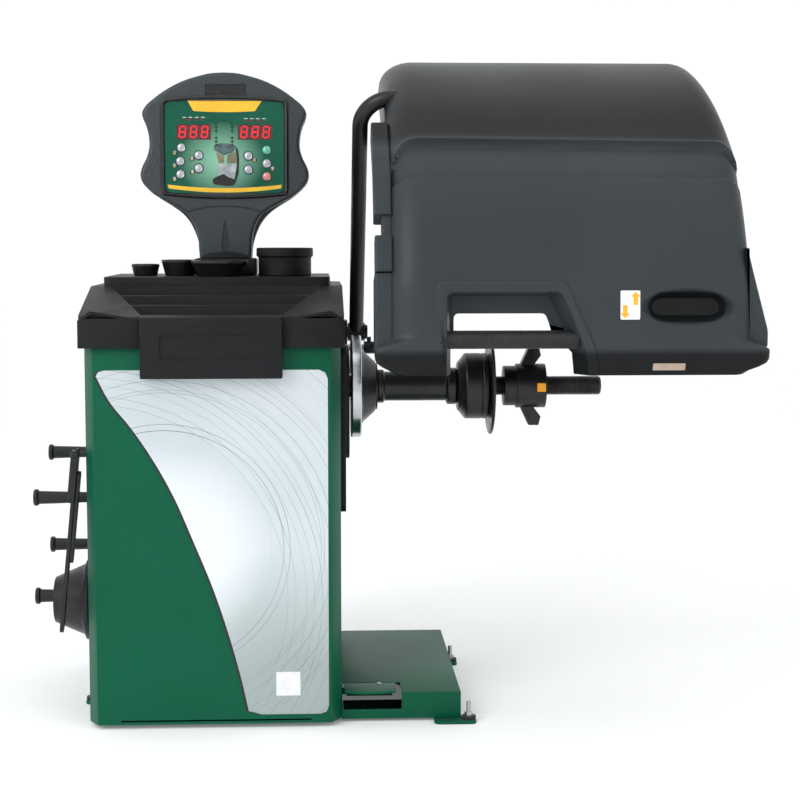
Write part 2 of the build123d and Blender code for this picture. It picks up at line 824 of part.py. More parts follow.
with BuildPart() as pressure_cup:
    with BuildSketch(yz_plane(cup_left, spindle_y, spindle_z)):
        Circle(cup_small_radius)
    with BuildSketch(yz_plane(cup_left + cup_taper_length, spindle_y, spindle_z)):
        Circle(cup_big_radius)
    loft()
    with BuildSketch(yz_plane(cup_left + cup_taper_length, spindle_y, spindle_z)):
        Circle(cup_big_radius)
    extrude(amount=cup_body_length)
    with BuildSketch(yz_plane(plate_left - cup_hub_length, spindle_y, spindle_z)):
        Circle(cup_hub_radius)
    extrude(amount=cup_hub_length)
    with BuildSketch(yz_plane(cup_left - 1, spindle_y, spindle_z)):
        Circle(shaft_radius + 2 * run_fit)
    extrude(amount=plate_left - cup_left + 2, mode=Mode.SUBTRACT)
save(pressure_cup.part, "pressure_cup")

with BuildPart() as cup_plate:
    with BuildSketch(yz_plane(plate_left, spindle_y, spindle_z)):
        Circle(plate_radius)
        Circle(shaft_radius + 2 * run_fit, mode=Mode.SUBTRACT)
    extrude(amount=plate_thickness)
save(cup_plate.part, "cup_plate")

button_centre_x = nut_right - 2.5 - button_side / 2
button_face_y = spindle_y - nut_hub_radius - 4.0
button_floor_y = spindle_y - shaft_radius - 8.0

with BuildPart() as quick_nut:
    with BuildSketch(yz_plane(nut_left, spindle_y, spindle_z)):
        Circle(nut_flange_radius)
    extrude(amount=nut_flange_length)
    with BuildSketch(yz_plane(nut_hub_left, spindle_y, spindle_z)):
        Circle(nut_hub_radius)
    extrude(amount=nut_hub_length)
    # Two wings, opposite each other, swept towards the shaft end
    for side in (1, -1):
        with BuildSketch(xz_plane(spindle_y + wing_width / 2)):
            with BuildLine():
                Polyline(
                    (nut_hub_left + 4, spindle_z + side * 30),
                    (nut_hub_left + 26, spindle_z + side * 30),
                    (nut_hub_left + 46, spindle_z + side * (wing_reach - 16)),
                    (nut_hub_left + 42, spindle_z + side * wing_reach),
                    (nut_hub_left + 24, spindle_z + side * wing_reach),
                    close=True,
                )
            make_face()
        extrude(amount=wing_width)
    with BuildSketch(yz_plane(nut_left - 1, spindle_y, spindle_z)):
        Circle(shaft_radius + 2 * run_fit)
    extrude(amount=nut_right - nut_left + 2, mode=Mode.SUBTRACT)
    # Pocket of the release button
    with BuildSketch(xz_plane(button_floor_y, button_centre_x, spindle_z)):
        Rectangle(button_side + 2 * touch_gap, button_side + 2 * touch_gap)
    extrude(amount=nut_hub_radius, mode=Mode.SUBTRACT)
save(quick_nut.part, "quick_nut")

with BuildPart() as release_button:
    with BuildSketch(xz_plane(button_floor_y - button_travel - touch_gap, button_centre_x, spindle_z)):
        Rectangle(button_side, button_side)
    extrude(amount=button_floor_y - button_travel - touch_gap - button_face_y)
    fillet(release_button.faces().sort_by(Axis.Y)[0].edges(), 1.5)
save(release_button.part, "release_button")

# ---- Motor, its pulley and the belt ----
motor_z = spindle_z - motor_drop
belt_left = driven_left + pulley_width - belt_width - 2.0
motor_face_x = driven_left + pulley_width + 6.0

with BuildPart() as drive_motor:
    with BuildSketch(yz_plane(motor_face_x, spindle_y, motor_z)):
        Circle(motor_radius)
    extrude(amount=motor_length)
    with BuildSketch(Plane.XY.offset(motor_z)):
        with Locations((motor_face_x + 28 + motor_length / 2, spindle_y)):
            Rectangle(motor_length - 56, 50)
    extrude(amount=beam_top - beam_thickness - motor_z)
    with BuildSketch(yz_plane(motor_face_x - 1, spindle_y, motor_z)):
        Circle(motor_shaft_radius + run_fit)
    extrude(amount=31, mode=Mode.SUBTRACT)
save(drive_motor.part, "drive_motor")

with BuildPart() as motor_pulley:
    with BuildSketch(yz_plane(belt_left - 3, spindle_y, motor_z)):
        Circle(motor_pulley_radius)
    extrude(amount=belt_width + 6)
    with BuildSketch(yz_plane(belt_left - 3, spindle_y, motor_z)):
        Circle(motor_shaft_radius)
    extrude(amount=motor_face_x + 28 - belt_left + 3)
save(motor_pulley.part, "motor_pulley")


def belt_loop(extra):
    """Outline of an open belt round both pulleys, lying extra outside their rims."""
    big = driven_radius + extra
    small = motor_pulley_radius + extra
    lean = math.asin((big - small) / motor_drop)
    big_right = (big * math.cos(lean), -big * math.sin(lean))
    small_right = (small * math.cos(lean), -motor_drop - small * math.sin(lean))
    ThreePointArc(big_right, (0, big), (-big_right[0], big_right[1]))
    Line((-big_right[0], big_right[1]), (-small_right[0], small_right[1]))
    ThreePointArc((-small_right[0], small_right[1]), (0, -motor_drop - small), small_right)
    Line(small_right, big_right)


with BuildPart() as drive_belt:
    with BuildSketch(yz_plane(belt_left, spindle_y, spindle_z)):
        with BuildLine():
            belt_loop(touch_gap + belt_thickness)
        make_face()
    extrude(amount=belt_width)
    with BuildSketch(yz_plane(belt_left - 1, spindle_y, spindle_z)):
        with BuildLine():
            belt_loop(touch_gap)
        make_face()
    extrude(amount=belt_width + 2, mode=Mode.SUBTRACT)
save(drive_belt.part, "drive_belt")

# ---- Brake: pedal on a cross pin, push rod, and a lever whose pad meets the driven pulley ----
pedal_left = cabinet_right + 6.0
pedal_width = pedal_notch_width - 16.0
pedal_top = platform_top + 2.0
pedal_front = platform_front - 4.0
pedal_arm_x = inner_right - 28.0
pedal_arm_width = 6.0
rod_y = pedal_axis_y + pedal_arm_length
rod_x = pedal_arm_x + pedal_arm_width / 2

with BuildPart() as brake_pedal:
    with BuildSketch(Plane.XY.offset(pedal_top - 4)):
        with BuildLine():
            Line((pedal_left, pedal_axis_y), (pedal_left + pedal_width, pedal_axis_y))
            Line((pedal_left + pedal_width, pedal_axis_y), (pedal_left + pedal_width, pedal_front + 8))
            ThreePointArc(
                (pedal_left + pedal_width, pedal_front + 8),
                (pedal_left + pedal_width / 2, pedal_front),
                (pedal_left, pedal_front + 8),
            )
            Line((pedal_left, pedal_front + 8), (pedal_left, pedal_axis_y))
        make_face()
    extrude(amount=4)
    with BuildSketch(yz_plane(pedal_left + 4, pedal_axis_y, pedal_axis_z)):
        Circle(9)
        with Locations((0, (pedal_top - 4 - pedal_axis_z) / 2)):
            Rectangle(14, pedal_top - 4 - pedal_axis_z)
    extrude(amount=pedal_width - 8)
    with BuildSketch(yz_plane(pedal_arm_x, pedal_axis_y, pedal_axis_z)):
        Circle(brake_shaft_radius)
    extrude(amount=pedal_left + pedal_width - pedal_arm_x - 4)
    with BuildSketch(yz_plane(pedal_arm_x, pedal_axis_y, pedal_axis_z)):
        with Locations((pedal_arm_length / 2, 0)):
            SlotCenterToCenter(pedal_arm_length, 2 * brake_shaft_radius)
    extrude(amount=pedal_arm_width)
save(brake_pedal.part, "brake_pedal")

lever_half = 6.0
with BuildPart() as brake_rod:
    with BuildSketch(Plane.XY.offset(pedal_axis_z + brake_shaft_radius + brake_rod_gap)):
        with Locations((rod_x, rod_y)):
            Circle(brake_rod_radius)
    extrude(
        amount=brake_shaft_z - lever_half - brake_lever_gap - pedal_axis_z - brake_shaft_radius - brake_rod_gap
    )
save(brake_rod.part, "brake_rod")

pad_top = spindle_z - driven_radius - brake_pad_gap
with BuildPart() as brake_lever:
    with BuildSketch(yz_plane(driven_left + 2, brake_shaft_y, brake_shaft_z)):
        Circle(brake_shaft_radius)
    extrude(amount=inner_right - 10 - driven_left - 2)
    with BuildSketch(yz_plane(driven_left + 2, brake_shaft_y, brake_shaft_z)):
        with Locations(((spindle_y - brake_shaft_y) / 2, 0)):
            SlotCenterToCenter(brake_shaft_y - spindle_y, 2 * lever_half + 4)
    extrude(amount=10)
    with BuildSketch(yz_plane(driven_left + 2, spindle_y, brake_shaft_z)):
        with Locations((0, (pad_top - brake_shaft_z) / 2)):
            Rectangle(18, pad_top - brake_shaft_z)
    extrude(amount=10)
    with BuildSketch(yz_plane(pedal_arm_x - 4, brake_shaft_y, brake_shaft_z)):
        with Locations(((rod_y - brake_shaft_y) / 2, 0)):
            SlotCenterToCenter(brake_shaft_y - rod_y, 2 * lever_half)
    extrude(amount=pedal_arm_width + 8)
save(brake_lever.part, "brake_lever")

# ---- Spindle cover on the cabinet's right side, with a raised boss round the shaft ----
cover_centre_y = (cover_front + cover_rear) / 2
cover_centre_z = (cover_bottom + cover_top) / 2
with BuildPart() as spindle_cover:
    with BuildSketch(yz_plane(cabinet_right, cover_centre_y, cover_centre_z)):
        RectangleRounded(cover_rear - cover_front, cover_top - cover_bottom, 20)
    extrude(amount=cover_depth)
    with BuildSketch(yz_plane(cabinet_right, spindle_y, (boss_bottom + boss_top) / 2)):
        RectangleRounded(boss_top - boss_bottom, boss_top - boss_bottom, 40)
    extrude(amount=boss_depth)
    with BuildSketch(yz_plane(cabinet_right - 1, cover_centre_y, cover_centre_z)):
        RectangleRounded(
            cover_rear - cover_front - 2 * cover_wall,
            cover_top - cover_bottom - 2 * cover_wall,
            17,
        )
    extrude(amount=cover_depth - cover_wall + 1, mode=Mode.SUBTRACT)
    with BuildSketch(yz_plane(cabinet_right, spindle_y, spindle_z)):
        Circle(cover_bore)
    extrude(amount=boss_depth + 1, mode=Mode.SUBTRACT)
    with BuildSketch(yz_plane(cabinet_right, gauge_y, gauge_z)):
        Circle(gauge_rod_radius + run_fit)
    extrude(amount=boss_depth + 1, mode=Mode.SUBTRACT)
save(spindle_cover.part, "spindle_cover")

# ---- Distance gauge: a rod that draws out along the spindle, and its swivelling head ----
gauge_head_left = cabinet_right + 51.0
with BuildPart() as gauge_rod:
    with BuildSketch(yz_plane(gauge_head_left + gauge_head_length - 4 - gauge_rod_length, gauge_y, gauge_z)):
        Circle(gauge_rod_radius)
    extrude(amount=gauge_rod_length)
save(gauge_rod.part, "gauge_rod")

with BuildPart() as gauge_head:
    with BuildSketch(yz_plane(gauge_head_left, gauge_y, gauge_z)):
        Circle(gauge_head_radius)
    extrude(amount=gauge_head_length)
    with BuildSketch(yz_plane(gauge_head_left + 6, gauge_y, gauge_z)):
        with Locations((0, gauge_head_radius)):
            SlotOverall(18, 9, rotation=90)
    extrude(amount=8)
    with BuildSketch(yz_plane(gauge_head_left - 1, gauge_y, gauge_z)):
        Circle(gauge_rod_radius + run_fit)
    extrude(amount=gauge_head_length - 3, mode=Mode.SUBTRACT)
save(gauge_head.part, "gauge_head")

# ---- Hood: a shell carried along X from one side profile, open below and behind ----
hood_profile = [
    (-355.0, hood_bottom),
    (-347.0, 780.0),
    (-336.0, 817.0),
    (-289.0, 932.0),
    (-255.0, 985.0),
    (-192.0, 1031.0),
    (-100.0, 1095.0),
    (1.0, 1138.0),
    (109.0, 1172.0),
    (210.0, 1180.0),
    (305.0, 1160.0),
]
hood_front = hood_profile[0][0]


def inset_profile(points, depth):
    """The same open outline moved inwards by depth, each corner along its mitre."""
    moved = []
    for index, (y, z) in enumerate(points):
        normals = []
        for first, second in ((index - 1, index), (index, index + 1)):
            if first < 0 or second >= len(points):
                continue
            run = points[second][0] - points[first][0]
            rise = points[second][1] - points[first][1]
            length = math.hypot(run, rise)
            normals.append((rise / length, -run / length))
        mean_y = sum(normal[0] for normal in normals) / len(normals)
        mean_z = sum(normal[1] for normal in normals) / len(normals)
        scale = depth / (mean_y * mean_y + mean_z * mean_z)
        moved.append((y + mean_y * scale, z + mean_z * scale))
    # The lowest point stays on the hood's bottom edge.
    moved[0] = (moved[0][0], points[0][1])
    return moved


def hood_band(points, depth):
    """Closed outline between the profile and its inset copy."""
    Polyline(*points, *reversed(inset_profile(points, depth)), close=True)


flare_profile = [hood_profile[0], hood_profile[1], (-341.0, hood_flare_top)]
pocket_back = hood_front + pocket_depth

with BuildPart() as hood_shell:
    with BuildSketch(yz_plane(hood_left)):
        with BuildLine():
            hood_band(hood_profile, hood_wall)
        make_face()
    extrude(amount=hood_body_right - hood_left)
    with BuildSketch(yz_plane(hood_body_right)):
        with BuildLine():
            hood_band(flare_profile, hood_wall)
        make_face()
    extrude(amount=hood_right - hood_body_right)
    for wall_x in (hood_body_left, hood_body_right - hood_wall):
        with BuildSketch(yz_plane(wall_x)):
            with BuildLine():
                hood_band(hood_profile, crescent_depth)
            make_face()
        extrude(amount=hood_wall)
    # Room for the arm where it comes in through the left wall
    with BuildSketch(yz_plane(hood_body_left - 1, arm_top_y, arm_top_z - 6)):
        Circle(arm_radius + 6)
    extrude(amount=hood_wall + 2, mode=Mode.SUBTRACT)
    # Handle pocket: a boxed recess behind the front skin, open below the back wall
    with BuildSketch(yz_plane(handle_left - hood_wall)):
        with BuildLine():
            Polyline(
                (hood_front + 2, hood_bottom),
                (hood_front + 9, pocket_top + hood_wall),
                (pocket_back + hood_wall, pocket_top + hood_wall),
                (pocket_back + hood_wall, hood_bottom),
                close=True,
            )
        make_face()
    extrude(amount=handle_right - handle_left + 2 * hood_wall)
    with BuildSketch(yz_plane(handle_left)):
        with BuildLine():
            Polyline(
                (hood_front - 5, hood_bottom - 5),
                (hood_front - 5, pocket_top),
                (pocket_back, pocket_top),
                (pocket_back, pocket_bottom),
                (pocket_back + 2 * hood_wall, pocket_bottom),
                (pocket_back + 2 * hood_wall, hood_bottom - 5),
                close=True,
            )
        make_face()
    extrude(amount=handle_right - handle_left, mode=Mode.SUBTRACT)
    with BuildSketch(yz_plane(handle_left, handle_y, handle_z)):
        Circle(handle_radius)
    extrude(amount=handle_right - handle_left)
    # Oval grip recess
    oval_x = (oval_left + oval_right) / 2
    oval_back = hood_front + oval_depth + 6
    with BuildSketch(xz_plane(oval_back + hood_wall, oval_x, oval_z)):
        RectangleRounded(oval_right - oval_left + 2 * hood_wall, oval_height + 2 * hood_wall, 20)
    extrude(amount=oval_depth + 2.5)
    with BuildSketch(xz_plane(oval_back, oval_x, oval_z)):
        RectangleRounded(oval_right - oval_left, oval_height, 16)
    extrude(amount=oval_depth + 20, mode=Mode.SUBTRACT)
save(hood_shell.part, "hood_shell")

arm_direction = (0.0, arm_top_y - pivot_y, arm_top_z - pivot_z)

with BuildPart() as hood_arm:
    with BuildLine():
        FilletPolyline(
            (arm_x, pivot_y, pivot_z),
            (arm_x, arm_top_y, arm_top_z),
            (arm_end_x, arm_top_y, arm_top_z),
            radius=arm_bend,
        )
    with BuildSketch(Plane(origin=(arm_x, pivot_y, pivot_z), x_dir=(1, 0, 0), z_dir=arm_direction)):
        Circle(arm_radius)
    sweep()
    with BuildSketch(yz_plane(arm_x - arm_radius - 3, pivot_y, pivot_z)):
        Circle(pivot_sleeve_radius)
    extrude(amount=2 * arm_radius + 6)
    with BuildSketch(yz_plane(arm_x - 2 * arm_radius, pivot_y, pivot_z)):
        Circle(pivot_pin_radius + run_fit)
    extrude(amount=4 * arm_radius, mode=Mode.SUBTRACT)
save(hood_arm.part, "hood_arm")

bracket_step = 6.5
with BuildPart() as hood_bracket:
    with BuildSketch(yz_plane(cabinet_right)):
        with BuildLine():
            Polyline(
                (cover_rear + 5, 585),
                (cabinet_rear - 3, 585),
                (cabinet_rear - 3, tray_skirt_bottom - 2),
                (cover_rear + 5, tray_skirt_bottom - 2),
                close=True,
            )
        make_face()
    extrude(amount=bracket_step)
    with BuildSketch(yz_plane(cabinet_right + bracket_step)):
        with BuildLine():
            Polyline(
                (cover_rear + 5, 585),
                (cabinet_rear - 3, 585),
                (cabinet_rear - 3, pivot_z + 24),
                (cover_rear + 5, pivot_z + 24),
                close=True,
            )
        make_face()
    extrude(amount=bracket_depth - bracket_step)
    with BuildSketch(yz_plane(cabinet_right + bracket_depth, pivot_y, pivot_z)):
        Circle(pivot_pin_radius)
    extrude(amount=arm_x + arm_radius + 3 + touch_gap - cabinet_right - bracket_depth)
    with BuildSketch(yz_plane(arm_x + arm_radius + 3 + touch_gap, pivot_y, pivot_z)):
        Circle(pivot_pin_radius + 4)
    extrude(amount=5)
save(hood_bracket.part, "hood_bracket")

# ---- Storage pegs and caliper hook on the cabinet's left side ----
caliper_origin_x = cabinet_left - 13.0
hook_radius = 3.5
hook_length = 28.0

with BuildPart() as storage_pegs:
    for peg_y, peg_z in peg_places:
        with BuildSketch(yz_plane(cabinet_left, peg_y, peg_z)):
            Circle(peg_base_radius)
        extrude(amount=-peg_base_length)
        with BuildSketch(yz_plane(cabinet_left - peg_base_length, peg_y, peg_z)):
            Circle(peg_radius)
        extrude(amount=peg_base_length - peg_length)
        with BuildSketch(yz_plane(cabinet_left - peg_length, peg_y, peg_z)):
            Circle(peg_tip_radius)
        extrude(amount=peg_tip_length)
    with BuildSketch(yz_plane(cabinet_left, caliper_y, caliper_hook_z)):
        Circle(hook_radius)
    extrude(amount=-hook_length)
save(storage_pegs.part, "storage_pegs")

# ---- Rim-width caliper: a long arm with its head block, and a shorter swinging arm ----
lean = math.radians(caliper_lean)
caliper_normal = (math.cos(lean), 0.0, -math.sin(lean))
caliper_length = 325.0
caliper_arm_width = 22.0
caliper_short_length = 162.0
caliper_pin_radius = 4.0
hook_slack = hook_radius + 1.0


def caliper_plane(offset):
    """Plane of the caliper, leaning out at its foot, offset along its normal towards the cabinet."""
    at_x = caliper_origin_x + offset * caliper_normal[0]
    at_z = caliper_hook_z + offset * caliper_normal[2]
    return Plane(origin=(at_x, caliper_y, at_z), x_dir=(0, 1, 0), z_dir=caliper_normal)


with BuildPart() as caliper_arm:
    with BuildSketch(caliper_plane(0)):
        with Locations((0, -caliper_length / 2 + 10)):
            SlotOverall(caliper_length, caliper_arm_width, rotation=90)
    extrude(amount=-caliper_thickness)
    with BuildSketch(caliper_plane(0)):
        with Locations((0, -caliper_pivot_drop)):
            RectangleRounded(caliper_arm_width + 8, 92, 10)
    extrude(amount=-caliper_block)
    with BuildSketch(caliper_plane(0)):
        with Locations((0, -caliper_pivot_drop)):
            Circle(caliper_pin_radius)
    extrude(amount=caliper_thickness + touch_gap)
    with BuildSketch(caliper_plane(caliper_thickness)):
        with Locations((0, touch_gap - 1)):
            Circle(hook_slack)
    extrude(amount=-5 * caliper_thickness, mode=Mode.SUBTRACT)
save(caliper_arm.part, "caliper_arm")

with BuildPart() as caliper_pointer:
    with BuildSketch(caliper_plane(touch_gap)):
        with Locations((0, -caliper_pivot_drop - caliper_short_length / 2 + caliper_arm_width / 2)):
            SlotOverall(caliper_short_length, caliper_arm_width - 4, rotation=90)
        with Locations((0, -caliper_pivot_drop)):
            Circle(caliper_pin_radius + run_fit, mode=Mode.SUBTRACT)
    extrude(amount=caliper_thickness)
save(caliper_pointer.part, "caliper_pointer")

# ---- Loose cones and the big cup ----


def build_cone(place_x, place_y, base_radius, top_radius, height, name):
    """A centring cone standing on the plateau with its wide end up, bored for the spindle."""
    with BuildPart() as cone:
        with BuildSketch(Plane.XY.offset(plateau_top)):
            with Locations((place_x, place_y)):
                Circle(base_radius)
        with BuildSketch(Plane.XY.offset(plateau_top + height)):
            with Locations((place_x, place_y)):
                Circle(top_radius)
        loft()
        with BuildSketch(Plane.XY.offset(plateau_top - 1)):
            with Locations((place_x, place_y)):
                Circle(bore_radius)
        extrude(amount=height + 2, mode=Mode.SUBTRACT)
    save(cone.part, name)


cone_sizes = {
    "small_cone": (head_x - 148.0, 130.0, 22.0, 26.0, 22.0),
    "medium_cone": (head_x - 84.0, 124.0, 27.0, 34.0, 30.0),
    "large_cone": (head_x - 8.0, 78.0, 40.0, 52.0, 29.0),
}
for cone_name, (cone_x, cone_y, cone_base, cone_top, cone_height) in cone_sizes.items():
    build_cone(cone_x, cone_y, cone_base, cone_top, cone_height, cone_name)

big_cup_x = head_x + 111.0
big_cup_y = 112.0
with BuildPart() as big_cup:
    with BuildSketch(Plane.XY.offset(plateau_top)):
        with Locations((big_cup_x, big_cup_y)):
            Circle(big_cup_body)
    extrude(amount=big_cup_height - big_cup_rim)
    with BuildSketch(Plane.XY.offset(plateau_top + big_cup_height - big_cup_rim)):
        with Locations((big_cup_x, big_cup_y)):
            Circle(big_cup_radius)
    extrude(amount=big_cup_rim)
    with BuildSketch(Plane.XY.offset(plateau_top + big_cup_wall)):
        with Locations((big_cup_x, big_cup_y)):
            Circle(big_cup_body - big_cup_wall)
    extrude(amount=big_cup_height, mode=Mode.SUBTRACT)
    with BuildSketch(Plane.XY.offset(plateau_top - 1)):
        with Locations((big_cup_x, big_cup_y)):
            Circle(bore_radius)
    extrude(amount=big_cup_height, mode=Mode.SUBTRACT)
save(big_cup.part, "big_cup")

# The large storage cone hangs by the top of its bore on the lower front peg.
hang_y, hang_z = peg_places[3]
hang_axis_z = hang_z - (bore_radius - peg_radius) + touch_gap
hang_right = cabinet_left - peg_base_length - touch_gap
with BuildPart() as peg_cone:
    with BuildSketch(yz_plane(hang_right - peg_cone_length, hang_y, hang_axis_z)):
        Circle(peg_cone_small)
    with BuildSketch(yz_plane(hang_right, hang_y, hang_axis_z)):
        Circle(peg_cone_big)
    loft()
    with BuildSketch(yz_plane(hang_right - peg_cone_length - 1, hang_y, hang_axis_z)):
        Circle(bore_radius)
    extrude(amount=peg_cone_length + 2, mode=Mode.SUBTRACT)
save(peg_cone.part, "peg_cone")

# ---- Power inlet module with its rocker switch, and the power board on the cabinet floor ----
inlet_face_y = cabinet_rear + rear_panel_sheet + 2.0
rocker_z = inlet_z + 20.0
rocker_pivot_y = inlet_face_y - 4.0
rocker_pin_radius = 1.5

with BuildPart() as power_inlet:
    with BuildSketch(xz_plane(inlet_face_y, inlet_x, inlet_z)):
        RectangleRounded(inlet_width, inlet_height, 4)
    extrude(amount=inlet_depth + 4)
    with BuildSketch(xz_plane(inlet_face_y + 1, inlet_x, inlet_z - 18)):
        RectangleRounded(25, 17, 3)
    extrude(amount=inlet_depth - 2, mode=Mode.SUBTRACT)
    with BuildSketch(xz_plane(inlet_face_y - inlet_depth + 2, inlet_x, inlet_z - 18)):
        with Locations((-7, -2), (7, -2), (0, 3)):
            Rectangle(2, 4)
    extrude(amount=-10)
    with BuildSketch(xz_plane(inlet_face_y + 1, inlet_x, rocker_z)):
        Rectangle(rocker_width + 2 * touch_gap, rocker_height + 2 * touch_gap)
    extrude(amount=inlet_depth - 2, mode=Mode.SUBTRACT)
    with BuildSketch(yz_plane(inlet_x - rocker_width / 2 - 3, rocker_pivot_y, rocker_z)):
        Circle(rocker_pin_radius + run_fit)
    extrude(amount=rocker_width + 6, mode=Mode.SUBTRACT)
save(power_inlet.part, "power_inlet")

with BuildPart() as power_switch:
    with BuildSketch(yz_plane(inlet_x - rocker_width / 2, rocker_pivot_y, rocker_z)):
        with BuildLine():
            Polyline((-3, -11), (2.5, -12), (5, 0), (6, 11.5), (-1, 12), (-4, 0), close=True)
        make_face()
    extrude(amount=rocker_width)
    with BuildSketch(yz_plane(inlet_x - rocker_width / 2 - 2, rocker_pivot_y, rocker_z)):
        Circle(rocker_pin_radius)
    extrude(amount=rocker_width + 4)
save(power_switch.part, "power_switch")

board_standoff = 20.0
with BuildPart() as power_board:
    with BuildSketch(Plane.XY.offset(cabinet_bottom + cabinet_sheet)):
        with Locations((cabinet_left + 100, 20)):
            with GridLocations(110, 140, 2, 2):
                Circle(4)
    extrude(amount=board_standoff)
    with BuildSketch(Plane.XY.offset(cabinet_bottom + cabinet_sheet + board_standoff)):
        with Locations((cabinet_left + 100, 20)):
            Rectangle(130, 160)
    extrude(amount=board_thickness)
    with BuildSketch(Plane.XY.offset(cabinet_bottom + cabinet_sheet + board_standoff + board_thickness)):
        with Locations((cabinet_left + 85, 50)):
            Rectangle(56, 48)
        with Locations((cabinet_left + 140, -20)):
            Rectangle(20, 60)
    extrude(amount=38)
save(power_board.part, "power_board")
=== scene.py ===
"""Wheel balancer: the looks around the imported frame. Lengths are metres, +X along the spindle, +Z up."""

import json
import logging
import math
from dataclasses import dataclass, field, replace
from enum import Enum
from typing import ClassVar, Optional, Sequence

import bmesh
import bpy
import numpy as np
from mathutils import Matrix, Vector

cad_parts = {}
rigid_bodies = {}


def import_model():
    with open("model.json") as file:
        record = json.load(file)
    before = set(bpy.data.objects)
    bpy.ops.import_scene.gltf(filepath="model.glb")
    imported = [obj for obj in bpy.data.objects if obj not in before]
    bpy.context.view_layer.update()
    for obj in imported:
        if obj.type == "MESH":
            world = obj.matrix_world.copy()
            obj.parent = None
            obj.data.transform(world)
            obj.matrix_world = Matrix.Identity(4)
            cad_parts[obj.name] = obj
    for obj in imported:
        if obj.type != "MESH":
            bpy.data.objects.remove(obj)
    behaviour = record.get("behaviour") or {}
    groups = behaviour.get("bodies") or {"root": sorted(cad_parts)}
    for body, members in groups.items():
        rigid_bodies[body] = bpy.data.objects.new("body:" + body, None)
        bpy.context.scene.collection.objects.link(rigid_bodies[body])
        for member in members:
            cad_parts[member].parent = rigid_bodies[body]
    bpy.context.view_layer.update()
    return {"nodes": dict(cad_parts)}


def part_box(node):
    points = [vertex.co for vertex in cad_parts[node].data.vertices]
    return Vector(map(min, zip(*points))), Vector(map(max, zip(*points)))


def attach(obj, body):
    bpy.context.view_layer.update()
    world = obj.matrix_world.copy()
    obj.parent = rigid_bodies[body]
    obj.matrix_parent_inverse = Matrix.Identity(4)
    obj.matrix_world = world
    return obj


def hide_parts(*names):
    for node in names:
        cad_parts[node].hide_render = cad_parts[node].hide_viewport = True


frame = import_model()
LOG = logging.getLogger("wheel_balancer")
MM = 0.001
Colour = tuple[float, float, float]
Place = tuple[float, float, float]
Point2 = tuple[float, float]
Piece = bpy.types.Object
Socket = bpy.types.NodeSocket


class Axis(Enum):
    """The row axis that a turned or extruded piece runs along."""

    X = 0
    Y = 1
    Z = 2


class Detail(Enum):
    """How many segments a turned piece gets round its axis."""

    FINE = 96
    MEDIUM = 64
    SMALL = 32


# ---------------------------------------------------------------- mesh tools


def enter(name: str, data: bpy.types.ID) -> Piece:
    """Link a new object with the given data into the scene."""
    made = bpy.data.objects.new(name, data)
    bpy.context.scene.collection.objects.link(made)
    return made


def shade_smooth(mesh: bpy.types.Mesh, angle: float) -> None:
    """Shade every face smooth and keep edges sharper than an angle in degrees crisp."""
    mesh.polygons.foreach_set("use_smooth", np.ones(len(mesh.polygons), bool))
    mesh.set_sharp_from_angle(angle=math.radians(angle))


def grid_faces(rows: int, columns: int, wrap: bool = False) -> list[tuple[int, ...]]:
    """Quads of a grid whose points are stored row by row.

    Args:
        rows: Number of rows of points.
        columns: Number of points in a row.
        wrap: Whether the last column joins the first.

    Returns:
        Index quads, each turning the same way.
    """
    row, column = np.meshgrid(np.arange(rows - 1), np.arange(columns if wrap else columns - 1), indexing="ij")
    here, beside = row * columns + column, row * columns + (column + 1) % columns
    quads = np.stack([here, beside, beside + columns, here + columns], axis=-1)
    return [tuple(quad) for quad in quads.reshape(-1, 4).tolist()]


def make_object(name: str, verts: np.ndarray, faces: Sequence[Sequence[int]], smooth_angle: float = 40.0) -> Piece:
    """Put arrays into a mesh object at the origin, with outward normals.

    Args:
        name: Name of the object.
        verts: Points in metres, one row each.
        faces: Index tuples.
        smooth_angle: Edges sharper than this many degrees stay crisp.

    Returns:
        The linked object.
    """
    mesh = bpy.data.meshes.new(name)
    mesh.from_pydata(np.asarray(verts, float).tolist(), [], [tuple(face) for face in faces])
    bm = bmesh.new()
    bm.from_mesh(mesh)
    bmesh.ops.remove_doubles(bm, verts=bm.verts, dist=1e-6)
    bmesh.ops.recalc_face_normals(bm, faces=bm.faces)
    bm.to_mesh(mesh)
    bm.free()
    shade_smooth(mesh, smooth_angle)
    mesh.update()
    return enter(name, mesh)


def tube(name: str, grid: np.ndarray, capped: bool = True, smooth_angle: float = 40.0) -> Piece:
    """A band through closed rings of points.

    Args:
        name: Name of the object.
        grid: Points indexed by ring, place in the ring, and X, Y, Z.
        capped: Whether the first and last ring are filled.
        smooth_angle: As in make_object.

    Returns:
        The object.
    """
    rows, count = grid.shape[:2]
    faces = grid_faces(rows, count, wrap=True)
    if capped:
        faces += [tuple(range(count)), tuple(range((rows - 1) * count, rows * count))]
    return make_object(name, grid.reshape(-1, 3), faces, smooth_angle)


def upright(flat: np.ndarray, depth: object) -> np.ndarray:
    """Front-view points (x, z) set at a depth y, which is one number or one for each point."""
    return np.stack([flat[:, 0], np.broadcast_to(depth, len(flat)), flat[:, 1]], axis=1)


def place_axis(along: np.ndarray, first: np.ndarray, second: np.ndarray, axis: Axis) -> np.ndarray:
    """Turn (along, first, second) into X, Y, Z by shifting them round until along is on the chosen axis."""
    return np.roll(np.stack([along, first, second], axis=-1), axis.value, axis=-1)


def points_of(piece: Piece) -> np.ndarray:
    """The vertices of a piece, one a row."""
    flat = np.empty(len(piece.data.vertices) * 3)
    piece.data.vertices.foreach_get("co", flat)
    return flat.reshape(-1, 3)


def set_points(piece: Piece, points: np.ndarray) -> None:
    """Move the vertices of a piece to new places."""
    piece.data.vertices.foreach_set("co", points.ravel())
    piece.data.update()


